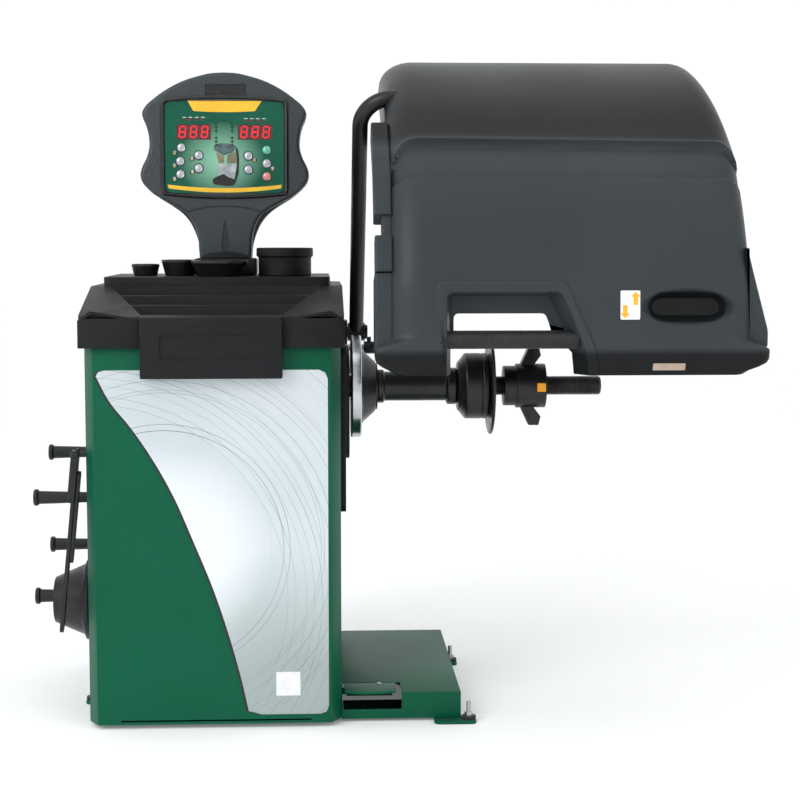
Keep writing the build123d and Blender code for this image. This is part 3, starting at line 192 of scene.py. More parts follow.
def soften_profile(points: Sequence[Point2], radius: float, steps: int = 4) -> np.ndarray:
    """Round each inner corner of an open outline with a short curve.

    The corner point is replaced by a quadratic curve whose ends lie radius away along both sides, or a
    third of the side where that is less.

    Args:
        points: Corners of the outline.
        radius: Distance from each corner at which the curve starts.
        steps: Number of segments in each curve.

    Returns:
        The softened outline, one point a row.
    """
    corners = np.asarray(points, float)
    out = [corners[0]]
    share = np.linspace(0, 1, steps + 1)[:, None]
    for before, corner, after in zip(corners[:-2], corners[1:-1], corners[2:]):
        ends = []
        for side in (before - corner, after - corner):
            length = np.linalg.norm(side)
            ends.append(corner + side / max(length, 1e-9) * min(radius, length / 3))
        out.extend((1 - share) ** 2 * ends[0] + 2 * share * (1 - share) * corner + share**2 * ends[1])
    out.append(corners[-1])
    return np.array(out)


def soften_loop(points: Sequence[Point2], radius: float, steps: int = 6) -> np.ndarray:
    """Round every corner of a closed outline. Args and result are as in soften_profile."""
    return soften_profile([points[-1], *points, points[0]], radius, steps)[1:-1]


def turned(
    name: str,
    profile: Sequence[Point2],
    centre: Point2,
    axis: Axis,
    soften: float = 0.0008,
    detail: Detail = Detail.MEDIUM,
) -> Piece:
    """A turned piece: a point at angle a and profile place (t, r) lies r from the axis line, t along it.

    Args:
        name: Name of the object.
        profile: (along, radius) corners in metres; a closed tube repeats its first corner at the end.
        centre: The two coordinates of the axis line, in X, Y, Z order without the axis.
        axis: The axis of turning.
        soften: Corner rounding.
        detail: Segments round the axis.

    Returns:
        The object.
    """
    outline = soften_profile(profile, soften) if soften > 0 else np.asarray(profile, float)
    turns = np.linspace(0, 2 * np.pi, detail.value, endpoint=False)
    along = np.repeat(outline[:, 0:1], detail.value, axis=1)
    points = place_axis(along, outline[:, 1:2] * np.cos(turns), outline[:, 1:2] * np.sin(turns), axis)
    return tube(name, points + np.insert(centre, axis.value, 0.0), capped=False)


def slab(
    name: str,
    outline: np.ndarray,
    low: float,
    high: float,
    axis: Axis = Axis.Y,
    edge: float = 0.001,
    steps: int = 3,
) -> Piece:
    """A plate cut to a closed outline, with its two rims rounded.

    The rim is a quarter circle: at share a of the turn the outline shrinks by edge * (1 - sin a) while the
    height has risen by edge * (1 - cos a). Shrinking moves each point along its mitred inward normal.

    Args:
        name: Name of the object.
        outline: Closed outline; its two columns are the other two coordinates in X, Y, Z order.
        low: Lower place along the axis.
        high: Upper place along the axis.
        axis: The axis the outline is carried along.
        edge: Radius of the rims.
        steps: Segments of each rim.

    Returns:
        The object.
    """
    loop = np.asarray(outline, float)
    following = np.roll(loop, -1, axis=0)
    sides = following - loop
    sides /= np.maximum(np.linalg.norm(sides, axis=1, keepdims=True), 1e-9)
    both = sides + np.roll(sides, 1, axis=0)
    area = np.sum(loop[:, 0] * following[:, 1] - following[:, 0] * loop[:, 1])
    normal = (1.0 if area > 0 else -1.0) * np.stack([-both[:, 1], both[:, 0]], axis=1)
    inward = 2 * normal / np.maximum(np.sum(normal**2, axis=1, keepdims=True), 0.5)
    turns = np.linspace(0, np.pi / 2, steps + 1)
    rise, shrink = edge * (1 - np.cos(turns)), edge * (1 - np.sin(turns))
    first, second = (1, 0) if axis is Axis.Y else (0, 1)
    layers = []
    for height, inset in zip(np.r_[low + rise, high - rise[::-1]], np.r_[shrink, shrink[::-1]]):
        flat = loop + inward * inset
        layers.append(place_axis(np.full(len(loop), height), flat[:, first], flat[:, second], axis))
    return tube(name, np.array(layers))


def plate(name: str, outline: np.ndarray, low: float, high: float, edge: float = 0.0001) -> Piece:
    """A thin plate in front view with a plain small bevel. Args are as in slab."""
    return slab(name, outline, low, high, edge=edge, steps=1)


def rounded_rectangle(centre: Point2, width: float, height: float, radius: float, steps: int = 8) -> np.ndarray:
    """Closed outline of a rectangle whose corners are quarter circles.

    Args:
        centre: Middle of the rectangle.
        width: Size along the first coordinate.
        height: Size along the second coordinate.
        radius: Corner radius.
        steps: Segments in a corner.

    Returns:
        The outline, anticlockwise.
    """
    turns = np.linspace(0, np.pi / 2, steps + 1)
    corners = []
    for quarter, (sign_a, sign_b) in enumerate(((1, 1), (-1, 1), (-1, -1), (1, -1))):
        angle = turns + quarter * np.pi / 2
        middle = np.array([centre[0] + sign_a * (width / 2 - radius), centre[1] + sign_b * (height / 2 - radius)])
        corners.append(middle + radius * np.stack([np.cos(angle), np.sin(angle)], axis=1))
    return np.concatenate(corners)


def disc(centre: Point2, radius: float, steps: int = 48) -> np.ndarray:
    """Closed outline of a circle."""
    turns = np.linspace(0, 2 * np.pi, steps, endpoint=False)
    return np.array(centre) + radius * np.stack([np.cos(turns), np.sin(turns)], axis=1)


def smooth_through(points: Sequence[Point2], count: int) -> np.ndarray:
    """A smooth curve through points: between two neighbours it is a cubic whose end slopes follow their chords.

    Args:
        points: The points it passes.
        count: Number of samples, evenly spread along the chords.

    Returns:
        The samples, one a row.
    """
    knots = np.asarray(points, float)
    chord = np.r_[0, np.cumsum(np.linalg.norm(np.diff(knots, axis=0), axis=1))]
    slope = np.gradient(knots, chord, axis=0)
    place = np.linspace(0, chord[-1], count)
    index = np.clip(np.searchsorted(chord, place, side="right") - 1, 0, len(chord) - 2)
    span = (chord[index + 1] - chord[index])[:, None]
    t = ((place - chord[index])[:, None]) / span
    return (
        (2 * t**3 - 3 * t**2 + 1) * knots[index]
        + (t**3 - 2 * t**2 + t) * span * slope[index]
        + (-2 * t**3 + 3 * t**2) * knots[index + 1]
        + (t**3 - t**2) * span * slope[index + 1]
    )


def stepped(edges: Sequence[float], pitches: Sequence[float]) -> np.ndarray:
    """Places along a line, with one pitch in each stretch.

    Args:
        edges: Ends of the stretches.
        pitches: The wanted pitch in each.

    Returns:
        All the places, in order, without repeats.
    """
    runs = [
        np.linspace(low, high, max(2, int(round((high - low) / pitch)) + 1))[:-1]
        for low, high, pitch in zip(edges[:-1], edges[1:], pitches)
    ]
    return np.r_[np.concatenate(runs), edges[-1]]


def ease(value: np.ndarray, low: float, high: float) -> np.ndarray:
    """Smooth step from 0 at low to 1 at high."""
    share = np.clip((value - low) / (high - low), 0, 1)
    return share * share * (3 - 2 * share)


def inside(points: np.ndarray, loop: np.ndarray) -> np.ndarray:
    """Which points lie in a closed outline: those whose ray to the right crosses it an odd number of times."""
    start, end = loop, np.roll(loop, -1, axis=0)
    x, y = points[:, 0:1], points[:, 1:2]
    spans = (start[None, :, 1] > y) != (end[None, :, 1] > y)
    rise = np.where(np.abs(end[:, 1] - start[:, 1]) < 1e-12, 1e-12, end[:, 1] - start[:, 1])
    cross = (end[:, 0] - start[:, 0])[None, :] * (y - start[None, :, 1]) / rise[None, :] + start[None, :, 0]
    return (np.sum(spans & (x < cross), axis=1) % 2) == 1


def union_of(name: str, pieces: Sequence[Piece]) -> Piece:
    """Join objects into one mesh object that keeps every part as a loose shell."""
    mesh = bpy.data.meshes.new(name)
    bm = bmesh.new()
    for piece in pieces:
        bm.from_mesh(piece.data)
        bpy.data.objects.remove(piece)
    bm.to_mesh(mesh)
    bm.free()
    mesh.set_sharp_from_angle(angle=math.radians(40))
    return enter(name, mesh)


def softened_copy(node: str, width: float) -> Piece:
    """A copy of a CAD node with merged triangles and rounded sharp edges, which stands for the node.

    Args:
        node: Name of the CAD node.
        width: Rounding of the edges.

    Returns:
        The copy.
    """
    sharp_from = 30.0
    mesh = frame["nodes"][node].data.copy()
    mesh.materials.clear()
    bm = bmesh.new()
    bm.from_mesh(mesh)
    bmesh.ops.remove_doubles(bm, verts=bm.verts, dist=1e-5)
    bmesh.ops.dissolve_limit(bm, angle_limit=math.radians(1.0), verts=bm.verts, edges=bm.edges)
    least = math.radians(sharp_from)
    sharp = [edge for edge in bm.edges if len(edge.link_faces) == 2 and edge.calc_face_angle(0) > least]
    bmesh.ops.bevel(bm, geom=sharp, offset=width, segments=3, profile=0.5, affect="EDGES", clamp_overlap=True)
    bm.to_mesh(mesh)
    bm.free()
    shade_smooth(mesh, sharp_from)
    made = enter(node + "_skin", mesh)
    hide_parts(node)
    return made


def drill(piece: Piece, cutter: Piece) -> None:
    """Cut one object's volume out of another, apply it, and delete the cutter."""
    modifier = piece.modifiers.new("cut", "BOOLEAN")
    modifier.operation, modifier.solver, modifier.object = "DIFFERENCE", "FAST", cutter
    piece_now = piece.evaluated_get(bpy.context.evaluated_depsgraph_get())
    mesh = bpy.data.meshes.new_from_object(piece_now)
    piece.modifiers.clear()
    shade_smooth(mesh, 32)
    piece.data = mesh
    bpy.data.objects.remove(cutter)


# ---------------------------------------------------------------- finishes


def srgb(red: int, green: int, blue: int) -> Colour:
    """Linear colour of an 8-bit screen colour."""
    parts = (red / 255, green / 255, blue / 255)
    return tuple((v / 12.92 if v <= 0.04045 else ((v + 0.055) / 1.055) ** 2.4) for v in parts)


class Graph:
    """A node tree with short ways to add and join nodes."""

    def __init__(self, tree: bpy.types.NodeTree) -> None:
        """Wrap a tree."""
        self.tree = tree

    def add(self, kind: str, inputs: dict[object, object], **settings: object) -> bpy.types.Node:
        """Add a node.

        Args:
            kind: Its type without the leading ShaderNode.
            inputs: A socket to link, or a value to set, for each input by its name or number.
            settings: Properties of the node.

        Returns:
            The node.
        """
        node = self.tree.nodes.new("ShaderNode" + kind)
        for name, setting in settings.items():
            setattr(node, name, setting)
        for label, value in inputs.items():
            if isinstance(value, Socket):
                self.tree.links.new(value, node.inputs[label])
            else:
                node.inputs[label].default_value = value
        return node

    def math(self, operation: str, first: object, second: object = 0.5) -> Socket:
        """Result of a Math node on sockets or numbers."""
        return self.add("Math", {0: first, 1: second}, operation=operation).outputs[0]

    def product(self, *factors: object) -> Socket:
        """Product of sockets and numbers, taken from the left."""
        result = factors[0]
        for factor in factors[1:]:
            result = self.math("MULTIPLY", result, factor)
        return result

    def vector(self, operation: str, first: Socket, second: Socket) -> Socket:
        """Vector result of a Vector Math node."""
        return self.add("VectorMath", {0: first, 1: second}, operation=operation).outputs["Vector"]

    def noise(self, place: Socket, scale: object, detail: float) -> Socket:
        """Value of a Noise Texture."""
        return self.add("TexNoise", {"Vector": place, "Scale": scale, "Detail": detail}).outputs["Fac"]


class Group(Graph):
    """A node group that works in object coordinates."""

    def __init__(
        self,
        name: str,
        floats: Sequence[str],
        vectors: Sequence[str] = (),
        colours: Sequence[str] = (),
        outputs: Sequence[str] = ("Mask",),
    ) -> None:
        """Make an empty group with its sockets.

        Args:
            name: Name of the group.
            floats: Its number inputs.
            vectors: Its vector inputs, which come before them.
            colours: Its colour inputs, which come first.
            outputs: Its outputs: numbers, but for one called Colour.
        """
        super().__init__(bpy.data.node_groups.new(name, "ShaderNodeTree"))
        kinds = (("Color", colours), ("Vector", vectors), ("Float", floats))
        for kind, label in ((kind, label) for kind, labels in kinds for label in labels):
            self.tree.interface.new_socket(label, in_out="INPUT", socket_type="NodeSocket" + kind)
        for label in outputs:
            kind = "Color" if label == "Colour" else "Float"
            self.tree.interface.new_socket(label, in_out="OUTPUT", socket_type="NodeSocket" + kind)
        self.entry = self.tree.nodes.new("NodeGroupInput").outputs
        self.leave = self.tree.nodes.new("NodeGroupOutput").inputs
        self.place = self.add("TexCoord", {}).outputs["Object"]

    def give(self, result: Socket, label: str = "Mask") -> bpy.types.NodeTree:
        """Join a result to an output. Returns the group's tree."""
        self.tree.links.new(result, self.leave[label])
        return self.tree

    def distance(self) -> tuple[Socket, Socket]:
        """Offset of the shaded point from the group's Centre, and its length."""
        offset = self.vector("SUBTRACT", self.place, self.entry["Centre"])
        return offset, self.length(offset)

    def length(self, vector: Socket) -> Socket:
        """Length of a vector."""
        return self.add("VectorMath", {0: vector}, operation="LENGTH").outputs["Value"]


class Effects:
    """The shader node groups that the finishes share."""

    def __init__(self) -> None:
        """Build every group once."""
        self.tone = self._tone()
        self.grain = self._grain()
        self.wear = self._wear()
        self.dust = self._dust()
        self.brushed = self._brushed()
        self.spot = self._spot()
        self.arcs = self._arcs()

    def _tone(self) -> bpy.types.NodeTree:
        """Cloudy drift between two colours, and a slow drift of roughness."""
        group = Group(
            "cloudy_tone", ("Scale", "Low", "High"), colours=("Base", "Shade"), outputs=("Colour", "Roughness")
        )
        cloud = group.noise(group.place, group.entry["Scale"], 5.0)
        share = group.add("MapRange", {"Value": cloud, "From Min": 0.35, "From Max": 0.65}).outputs["Result"]
        ends = {"A": group.entry["Base"], "B": group.entry["Shade"]}
        mix = group.add("Mix", {"Factor": share, **ends}, data_type="RGBA")
        rough = group.add("MapRange", {"Value": share, "To Min": group.entry["Low"], "To Max": group.entry["High"]})
        group.give(mix.outputs["Result"], "Colour")
        return group.give(rough.outputs["Result"], "Roughness")

    def _grain(self) -> bpy.types.NodeTree:
        """Moulded or sprayed grain: rounded cells broken by a finer noise."""
        group = Group("fine_grain", ("Scale", "Cells"), outputs=("Height",))
        scale = group.entry["Scale"]
        cells = group.add("TexVoronoi", {"Vector": group.place, "Scale": scale}, feature="SMOOTH_F1")
        fine = group.noise(group.place, scale, 3.0)
        part = group.product(cells.outputs["Distance"], group.entry["Cells"])
        return group.give(group.math("ADD", part, fine), "Height")

    def _wear(self) -> bpy.types.NodeTree:
        """Mask of rubbed edges: where a rounded normal leaves the true one, broken up by noise."""
        group = Group("edge_wear", ("Reach", "Amount"))
        rounded = group.add("Bevel", {"Radius": group.entry["Reach"]}, samples=4).outputs["Normal"]
        true = group.add("NewGeometry", {}).outputs["Normal"]
        match = group.add("VectorMath", {0: rounded, 1: true}, operation="DOT_PRODUCT").outputs["Value"]
        broken = group.math("POWER", group.noise(group.place, 90.0, 6.0), 2.0)
        strong = group.product(group.math("SUBTRACT", 1.0, match), broken, group.entry["Amount"])
        return group.give(group.math("MINIMUM", strong, 1.0))

    def _dust(self) -> bpy.types.NodeTree:
        """Mask of settled dust: on faces that look up, in soft patches."""
        group = Group("settled_dust", ("Amount",))
        height = group.add("SeparateXYZ", {0: group.add("NewGeometry", {}).outputs["Normal"]}).outputs["Z"]
        upward = group.math("POWER", group.math("MAXIMUM", height, 0.0), 3.0)
        return group.give(group.product(upward, group.noise(group.place, 14.0, 8.0), group.entry["Amount"]))

    def _brushed(self) -> bpy.types.NodeTree:
        """Turning or brushing marks: noise squeezed along the way the tool travelled."""
        group = Group("turning_marks", ("Scale",), vectors=("Stretch",), outputs=("Height", "Streak"))
        squeezed = group.vector("MULTIPLY", group.place, group.entry["Stretch"])
        fine = group.noise(squeezed, group.entry["Scale"], 4.0)
        group.give(fine, "Height")
        return group.give(fine, "Streak")

    def _spot(self) -> bpy.types.NodeTree:
        """Soft mask round a centre: edge times (1 less the distance over the reach), held between 0 and 1."""
        group = Group("soft_spot", ("Edge", "Amount"), vectors=("Centre", "Reach"))
        offset, _ = group.distance()
        far = group.length(group.vector("DIVIDE", offset, group.entry["Reach"]))
        rise = group.product(group.math("SUBTRACT", 1.0, far), group.entry["Edge"])
        held = group.math("MINIMUM", group.math("MAXIMUM", rise, 0.0), 1.0)
        return group.give(group.product(group.math("SMOOTH_MIN", held, 1.0), group.entry["Amount"]))

    def _arcs(self) -> bpy.types.NodeTree:
        """Mask of fine circles: a thin line at each pitch of the distance, most of them left out by noise."""
        group = Group("fine_arcs", ("Start", "Pitch", "Width", "Amount"), vectors=("Centre",))
        _, far = group.distance()
        steps = group.math("DIVIDE", far, group.entry["Pitch"])
        thin = group.math("LESS_THAN", group.math("FRACT", steps), group.entry["Width"])
        line = group.product(thin, group.math("GREATER_THAN", far, group.entry["Start"]))
        whole = group.product(group.math("FLOOR", steps), 7.31)
        chance = group.add("TexWhiteNoise", {}, noise_dimensions="1D")
        group.tree.links.new(whole, chance.inputs["W"])
        kept = group.product(line, group.math("POWER", chance.outputs["Value"], 7.0))
        fade = group.product(group.noise(group.place, 5.0, 2.0), 1.6)
        return group.give(group.product(group.product(kept, fade), group.entry["Amount"]))


EFFECTS = Effects()


@dataclass(frozen=True)
class Finish:
    """One finish of the machine, made into a material by build(); unless told otherwise, a smooth printed film.

    Lengths are metres; scales are cycles a metre.
    """

    name: str
    colour: Colour
    shade: Colour
    roughness: tuple[float, float] = (0.25, 0.35)
    metallic: float = 0.0
    coat: float = 0.0
    specular: float = 0.5
    tone_scale: float = 90.0
    grain_scale: float = 900.0
    grain_cells: float = 0.6
    grain_depth: float = 0.00002
    streak: Optional[Place] = None
    wear: float = 0.0
    wear_colour: Colour = (0.6, 0.6, 0.6)
    dust: float = 0.0
    edge: float = 0.0
    glow: float = 0.0
    # spots: soft patches of colour over the tone; on the hood and the silver film these are painted shade and painted
    # highlight
    spots: tuple[tuple[Place, Place, float, float, Colour], ...] = ()
    arcs: tuple[tuple[Place, float, float, float, float, Colour], ...] = ()

    WEAR_REACH: ClassVar[float] = 0.0016
    DUST_COLOUR: ClassVar[Colour] = (0.42, 0.41, 0.39)
    DUST_ROUGHNESS: ClassVar[float] = 0.4
    STREAK_ROUGHNESS: ClassVar[float] = 0.22

    def _layers(self) -> list[tuple[bpy.types.NodeTree, dict[str, object], Colour]]:
        """The plain colours laid over the tone, from the lowest: mask group, its values, and the colour."""
        spot_labels, arc_labels = ("Centre", "Reach", "Edge", "Amount"), ("Centre", "Start", "Pitch", "Width", "Amount")
        layers = [(EFFECTS.spot, dict(zip(spot_labels, spot)), spot[-1]) for spot in self.spots]
        layers += [(EFFECTS.arcs, dict(zip(arc_labels, arc)), arc[-1]) for arc in self.arcs]
        if self.wear > 0:
            layers.append((EFFECTS.wear, {"Reach": self.WEAR_REACH, "Amount": self.wear}, self.wear_colour))
        if self.dust > 0:
            layers.append((EFFECTS.dust, {"Amount": self.dust}, self.DUST_COLOUR))
        return layers

    def build(self) -> bpy.types.Material:
        """Make the material, once.

        Returns:
            The material of this finish.
        """
        known = bpy.data.materials.get(self.name)
        if known is not None:
            return known
        material = bpy.data.materials.new(self.name)
        material.use_nodes = True
        graph = Graph(material.node_tree)
        shader = material.node_tree.nodes["Principled BSDF"].inputs
        shader["Metallic"].default_value = self.metallic
        shader["Coat Weight"].default_value = self.coat
        shader["Coat Roughness"].default_value = 0.12
        shader["Specular IOR Level"].default_value = self.specular
        tones = {"Base": (*self.colour, 1), "Shade": (*self.shade, 1), "Scale": self.tone_scale}
        tones |= dict(zip(("Low", "High"), self.roughness))
        tone = graph.add("Group", tones, node_tree=EFFECTS.tone).outputs
        colour, rough = tone["Colour"], tone["Roughness"]
        for group, values, over in self._layers():
            mask = graph.add("Group", values, node_tree=group).outputs["Mask"]
            mixed = graph.add("Mix", {"Factor": mask, "A": colour, "B": (*over, 1)}, data_type="RGBA")
            colour = mixed.outputs["Result"]
            if group is EFFECTS.dust:
                rough = graph.math("ADD", rough, graph.product(mask, self.DUST_ROUGHNESS))
        if self.grain_depth > 0:
            if self.streak is None:
                values = {"Scale": self.grain_scale, "Cells": self.grain_cells}
                texture = graph.add("Group", values, node_tree=EFFECTS.grain).outputs
            else:
                values = {"Stretch": self.streak, "Scale": self.grain_scale}
                texture = graph.add("Group", values, node_tree=EFFECTS.brushed).outputs
                swing = graph.product(graph.math("SUBTRACT", texture["Streak"], 0.5), self.STREAK_ROUGHNESS)
                rough = graph.math("ADD", rough, swing)
            relief = {"Strength": 0.6, "Distance": self.grain_depth, "Height": texture["Height"]}
            if self.edge > 0:
                relief["Normal"] = graph.add("Bevel", {"Radius": self.edge}, samples=4).outputs["Normal"]
            graph.tree.links.new(graph.add("Bump", relief).outputs["Normal"], shader["Normal"])
        if self.glow > 0:
            shader["Emission Strength"].default_value = self.glow
            graph.tree.links.new(colour, shader["Emission Color"])
        graph.tree.links.new(colour, shader["Base Color"])
        graph.tree.links.new(rough, shader["Roughness"])
        return material


class Finishes:
    """Every finish on the machine."""

    GREEN = Finish(
        "green_powder_coat", srgb(0, 86, 60), srgb(0, 79, 54), (0.40, 0.48), specular=0.16, tone_scale=3.0,
        grain_scale=420.0, grain_cells=0.5, grain_depth=0.00022, wear=1.2, wear_colour=srgb(60, 150, 122), dust=0.05,
    )
    TRAY = Finish(
        "grained_tray_plastic", srgb(17, 19, 22), srgb(13, 15, 17), (0.42, 0.52), specular=0.22, tone_scale=8.0,
        grain_scale=520.0, grain_cells=1.2, grain_depth=0.0009, wear=1.2, wear_colour=srgb(92, 96, 100), dust=0.05,
    )
    HOOD = Finish(
        "satin_hood_plastic", srgb(53, 58, 61), srgb(48, 53, 56), (0.34, 0.42), specular=0.18, tone_scale=4.0,
        grain_cells=0.8, grain_depth=0.00012, wear=0.4, wear_colour=srgb(92, 98, 102), dust=0.006,
        spots=(
            # painted shade: the upward-facing cap and roof darkened
            ((0.3, 0.0, 1.125), (9.0, 9.0, 0.125), 6.0, 0.95, srgb(8, 10, 13)),
            # painted shade: the downward-facing chin darkened
            ((0.3, 0.0, 0.628), (9.0, 9.0, 0.045), 4.0, 0.97, srgb(4, 3, 4)),
            # painted shade: darkening inside the oval grip recess
            ((0.483, -0.35, 0.740), (0.0790, 9.0, 0.0310), 6.0, 0.92, srgb(6, 7, 8)),
        ),
    )
    HEAD = replace(
        TRAY, name="head_plastic", colour=srgb(32, 43, 47), shade=srgb(26, 36, 40), roughness=(0.30, 0.40),
        specular=0.55,
        wear=0.8, wear_colour=srgb(112, 120, 124), dust=0.03,
    )
    BLACK = Finish(
        "black_oxide_steel", srgb(20, 21, 23), srgb(14, 15, 17), (0.28, 0.4), metallic=0.2, tone_scale=25.0,
        grain_depth=0.0001, wear=1.4, wear_colour=srgb(110, 110, 112), dust=0.02, edge=0.0008,
    )
    BRIGHT = Finish(
        "turned_bright_steel", srgb(202, 204, 206), srgb(184, 187, 190), (0.16, 0.26), metallic=1.0, tone_scale=18.0,
        grain_scale=60.0, grain_depth=0.00004, streak=(30.0, 1.0, 1.0), edge=0.0006,
    )
    ZINC = Finish(
        "bright_zinc", srgb(190, 192, 190), srgb(165, 166, 162), (0.26, 0.4), metallic=1.0, tone_scale=60.0,
        grain_scale=500.0, grain_depth=0.00008, edge=0.0006,
    )
    FRAME = Finish(
        "grey_frame_steel", srgb(120, 122, 124), srgb(100, 102, 104), (0.4, 0.55), metallic=0.7, tone_scale=14.0,
        grain_scale=500.0, grain_depth=0.00012, edge=0.001,
    )
    IRON = Finish(
        "cast_motor_iron", srgb(74, 78, 82), srgb(60, 64, 68), (0.5, 0.65), metallic=0.3, tone_scale=30.0,
        grain_scale=350.0, grain_cells=1.2, grain_depth=0.0005, edge=0.001,
    )
    RUBBER = Finish(
        "dull_rubber", srgb(30, 30, 31), srgb(38, 38, 38), (0.65, 0.8), tone_scale=40.0,
        grain_scale=1200.0, grain_cells=0.8, grain_depth=0.0002, dust=0.15,
    )
    THREAD = Finish(
        "dark_threaded_steel", srgb(60, 57, 55), srgb(44, 42, 41), (0.30, 0.42), metallic=0.8, tone_scale=30.0,
        grain_depth=0.00006, wear=1.2, wear_colour=srgb(180, 180, 182),
    )
    ORANGE = Finish(
        "orange_button_plastic", srgb(250, 166, 16), srgb(242, 152, 12), (0.3, 0.38), tone_scale=60.0,
        grain_scale=1500.0, grain_depth=0.00006, wear=0.6, wear_colour=srgb(255, 200, 90), edge=0.0006,
    )
    BOARD = Finish(
        "green_circuit_board", srgb(20, 84, 44), srgb(14, 70, 36), (0.35, 0.5), tone_scale=120.0,
        grain_scale=800.0, grain_depth=0.0001,
    )
    SWITCH = Finish(
        "glossy_switch_plastic", srgb(24, 24, 26), srgb(20, 20, 22), (0.2, 0.3), tone_scale=80.0,
        grain_scale=1500.0, grain_depth=0.00004, edge=0.0006,
    )
    GRIP = Finish(
        "ribbed_grip_rubber", srgb(24, 25, 27), srgb(18, 19, 21), (0.48, 0.6), tone_scale=30.0,
        grain_scale=1500.0, grain_cells=1.0, grain_depth=0.0002, dust=0.05,
    )
    KEY = Finish(
        "silver_key", srgb(186, 190, 192), srgb(168, 172, 175), (0.24, 0.34), metallic=0.85, tone_scale=200.0,
        grain_scale=1800.0, grain_depth=0.00003,
    )
    KEY_GREEN = replace(
        KEY, name="green_tinted_key", colour=srgb(120, 196, 170), shade=srgb(96, 176, 150), metallic=0.6
    )
    KEY_RED = replace(KEY, name="red_tinted_key", colour=srgb(222, 150, 146), shade=srgb(206, 128, 124), metallic=0.6)
    LABEL = Finish(
        "white_label_film", srgb(232, 234, 234), srgb(222, 224, 224), (0.35, 0.45), tone_scale=60.0, grain_scale=600.0
    )
    SIGNAL = Finish("amber_print", srgb(240, 176, 20), srgb(234, 166, 16), (0.35, 0.45), grain_scale=600.0)
    TAN = Finish(
        "tan_plate", srgb(176, 156, 140), srgb(164, 144, 128), (0.4, 0.5), grain_scale=600.0, grain_depth=0.00004
    )
    SILVER = Finish(
        "silver_film", srgb(204, 212, 216), srgb(190, 199, 204), (0.28, 0.38), metallic=0.25, tone_scale=2.2,
        grain_scale=500.0,
        spots=(
            # painted shade: the film darker and greener grey towards the bottom
            ((-0.17, -0.165, 0.02), (0.30, 1.0, 0.30), 1.5, 0.85, srgb(146, 158, 155)),
            # painted highlight: a pale patch inside the film's inner circle
            ((-0.381, -0.165, 0.3165), (0.185, 1.0, 0.185), 2.0, 0.55, srgb(244, 250, 252)),
        ),
        arcs=(
            ((-0.381, -0.1658, 0.3165), 0.165, 0.0054, 0.24, 1.0, srgb(96, 112, 114)),
            ((-0.505, -0.1658, 0.2310), 0.300, 0.0046, 0.20, 1.0, srgb(104, 120, 122)),
            ((1.90, -0.1658, 1.30), 0.0, 0.0670, 0.012, 1.0, srgb(100, 118, 120)),
        ),
    )
    DARK_EDGE = Finish(
        "film_edge_print", srgb(18, 26, 24), srgb(12, 18, 17), (0.3, 0.4), tone_scale=30.0, grain_scale=500.0
    )
    PANEL = Finish(
        "panel_green_film", srgb(0, 84, 62), srgb(0, 74, 54), (0.22, 0.3), coat=0.15, specular=0.2, tone_scale=9.0,
        spots=(((-0.292, 0.138, 0.994), (0.082, 1.0, 0.072), 1.1, 0.85, srgb(150, 206, 176)),),
    )
    RIM_PRINT = Finish("panel_tan_print", srgb(132, 126, 98), srgb(106, 100, 78))
    TEAL_PRINT = Finish("panel_slate_print", srgb(92, 118, 118), srgb(44, 66, 70), tone_scale=60.0)
    YELLOW = Finish(
        "panel_yellow_print", srgb(238, 190, 28), srgb(230, 178, 20), (0.25, 0.32), coat=0.4, tone_scale=40.0
    )
    # black print; the same finish makes the painted shade sheets at the back of the head's recesses
    INK_AND_SHADE = Finish("black_print_and_painted_shade", srgb(18, 20, 20), srgb(12, 14, 14))
    STEEL_PRINT = Finish("panel_grey_print", srgb(176, 184, 186), srgb(126, 134, 138), tone_scale=70.0)
    DARK_MARK = Finish("panel_dark_print", srgb(30, 62, 50), srgb(22, 48, 38))
    LAMP = Finish("small_red_lamp", srgb(128, 22, 26), srgb(104, 14, 18), (0.2, 0.3), tone_scale=200.0)
    FIGURE = Finish("lit_red_figure", srgb(214, 18, 34), srgb(224, 30, 42), (0.3, 0.4), tone_scale=100.0, glow=0.5)
    LENS = Finish(
        "dark_red_lens", srgb(74, 8, 10), srgb(60, 5, 8), (0.08, 0.14), coat=0.6, tone_scale=60.0, grain_scale=400.0
    )
    FLOOR = Finish(
        "pale_floor", (0.93, 0.93, 0.93), (0.92, 0.92, 0.92), (0.7, 0.8), specular=0.1, tone_scale=0.5,
        grain_depth=0.0, glow=0.14,
    )


def dress(obj: Piece, finish: Finish) -> None:
    """Give an object one finish in every material slot."""
    material = finish.build()
    if not obj.material_slots:
        obj.data.materials.append(material)
    for slot in obj.material_slots:
        slot.material = material


def dress_node(node: str, finish: Finish) -> None:
    """Give a CAD node, whose shape stays, one finish."""
    dress(frame["nodes"][node], finish)
    LOG.info("%s: CAD shape in %s", node, finish.name)


def settle(obj: Piece, finish: Finish, body: str, slot: str, *nodes: str) -> Piece:
    """Dress a new piece, make it ride on a body, and hide the CAD nodes that it stands for.

    Args:
        obj: The new piece.
        finish: Its finish.
        body: The body that carries it.
        slot: The record's material slot; not used.
        nodes: CAD nodes that it replaces.

    Returns:
        The same object.
    """
    dress(obj, finish)
    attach(obj, body)
    if nodes:
        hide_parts(*nodes)
    LOG.info("%s: %d faces on %s", obj.name, len(obj.data.polygons), body)
    return obj


# ---------------------------------------------------------------- studio


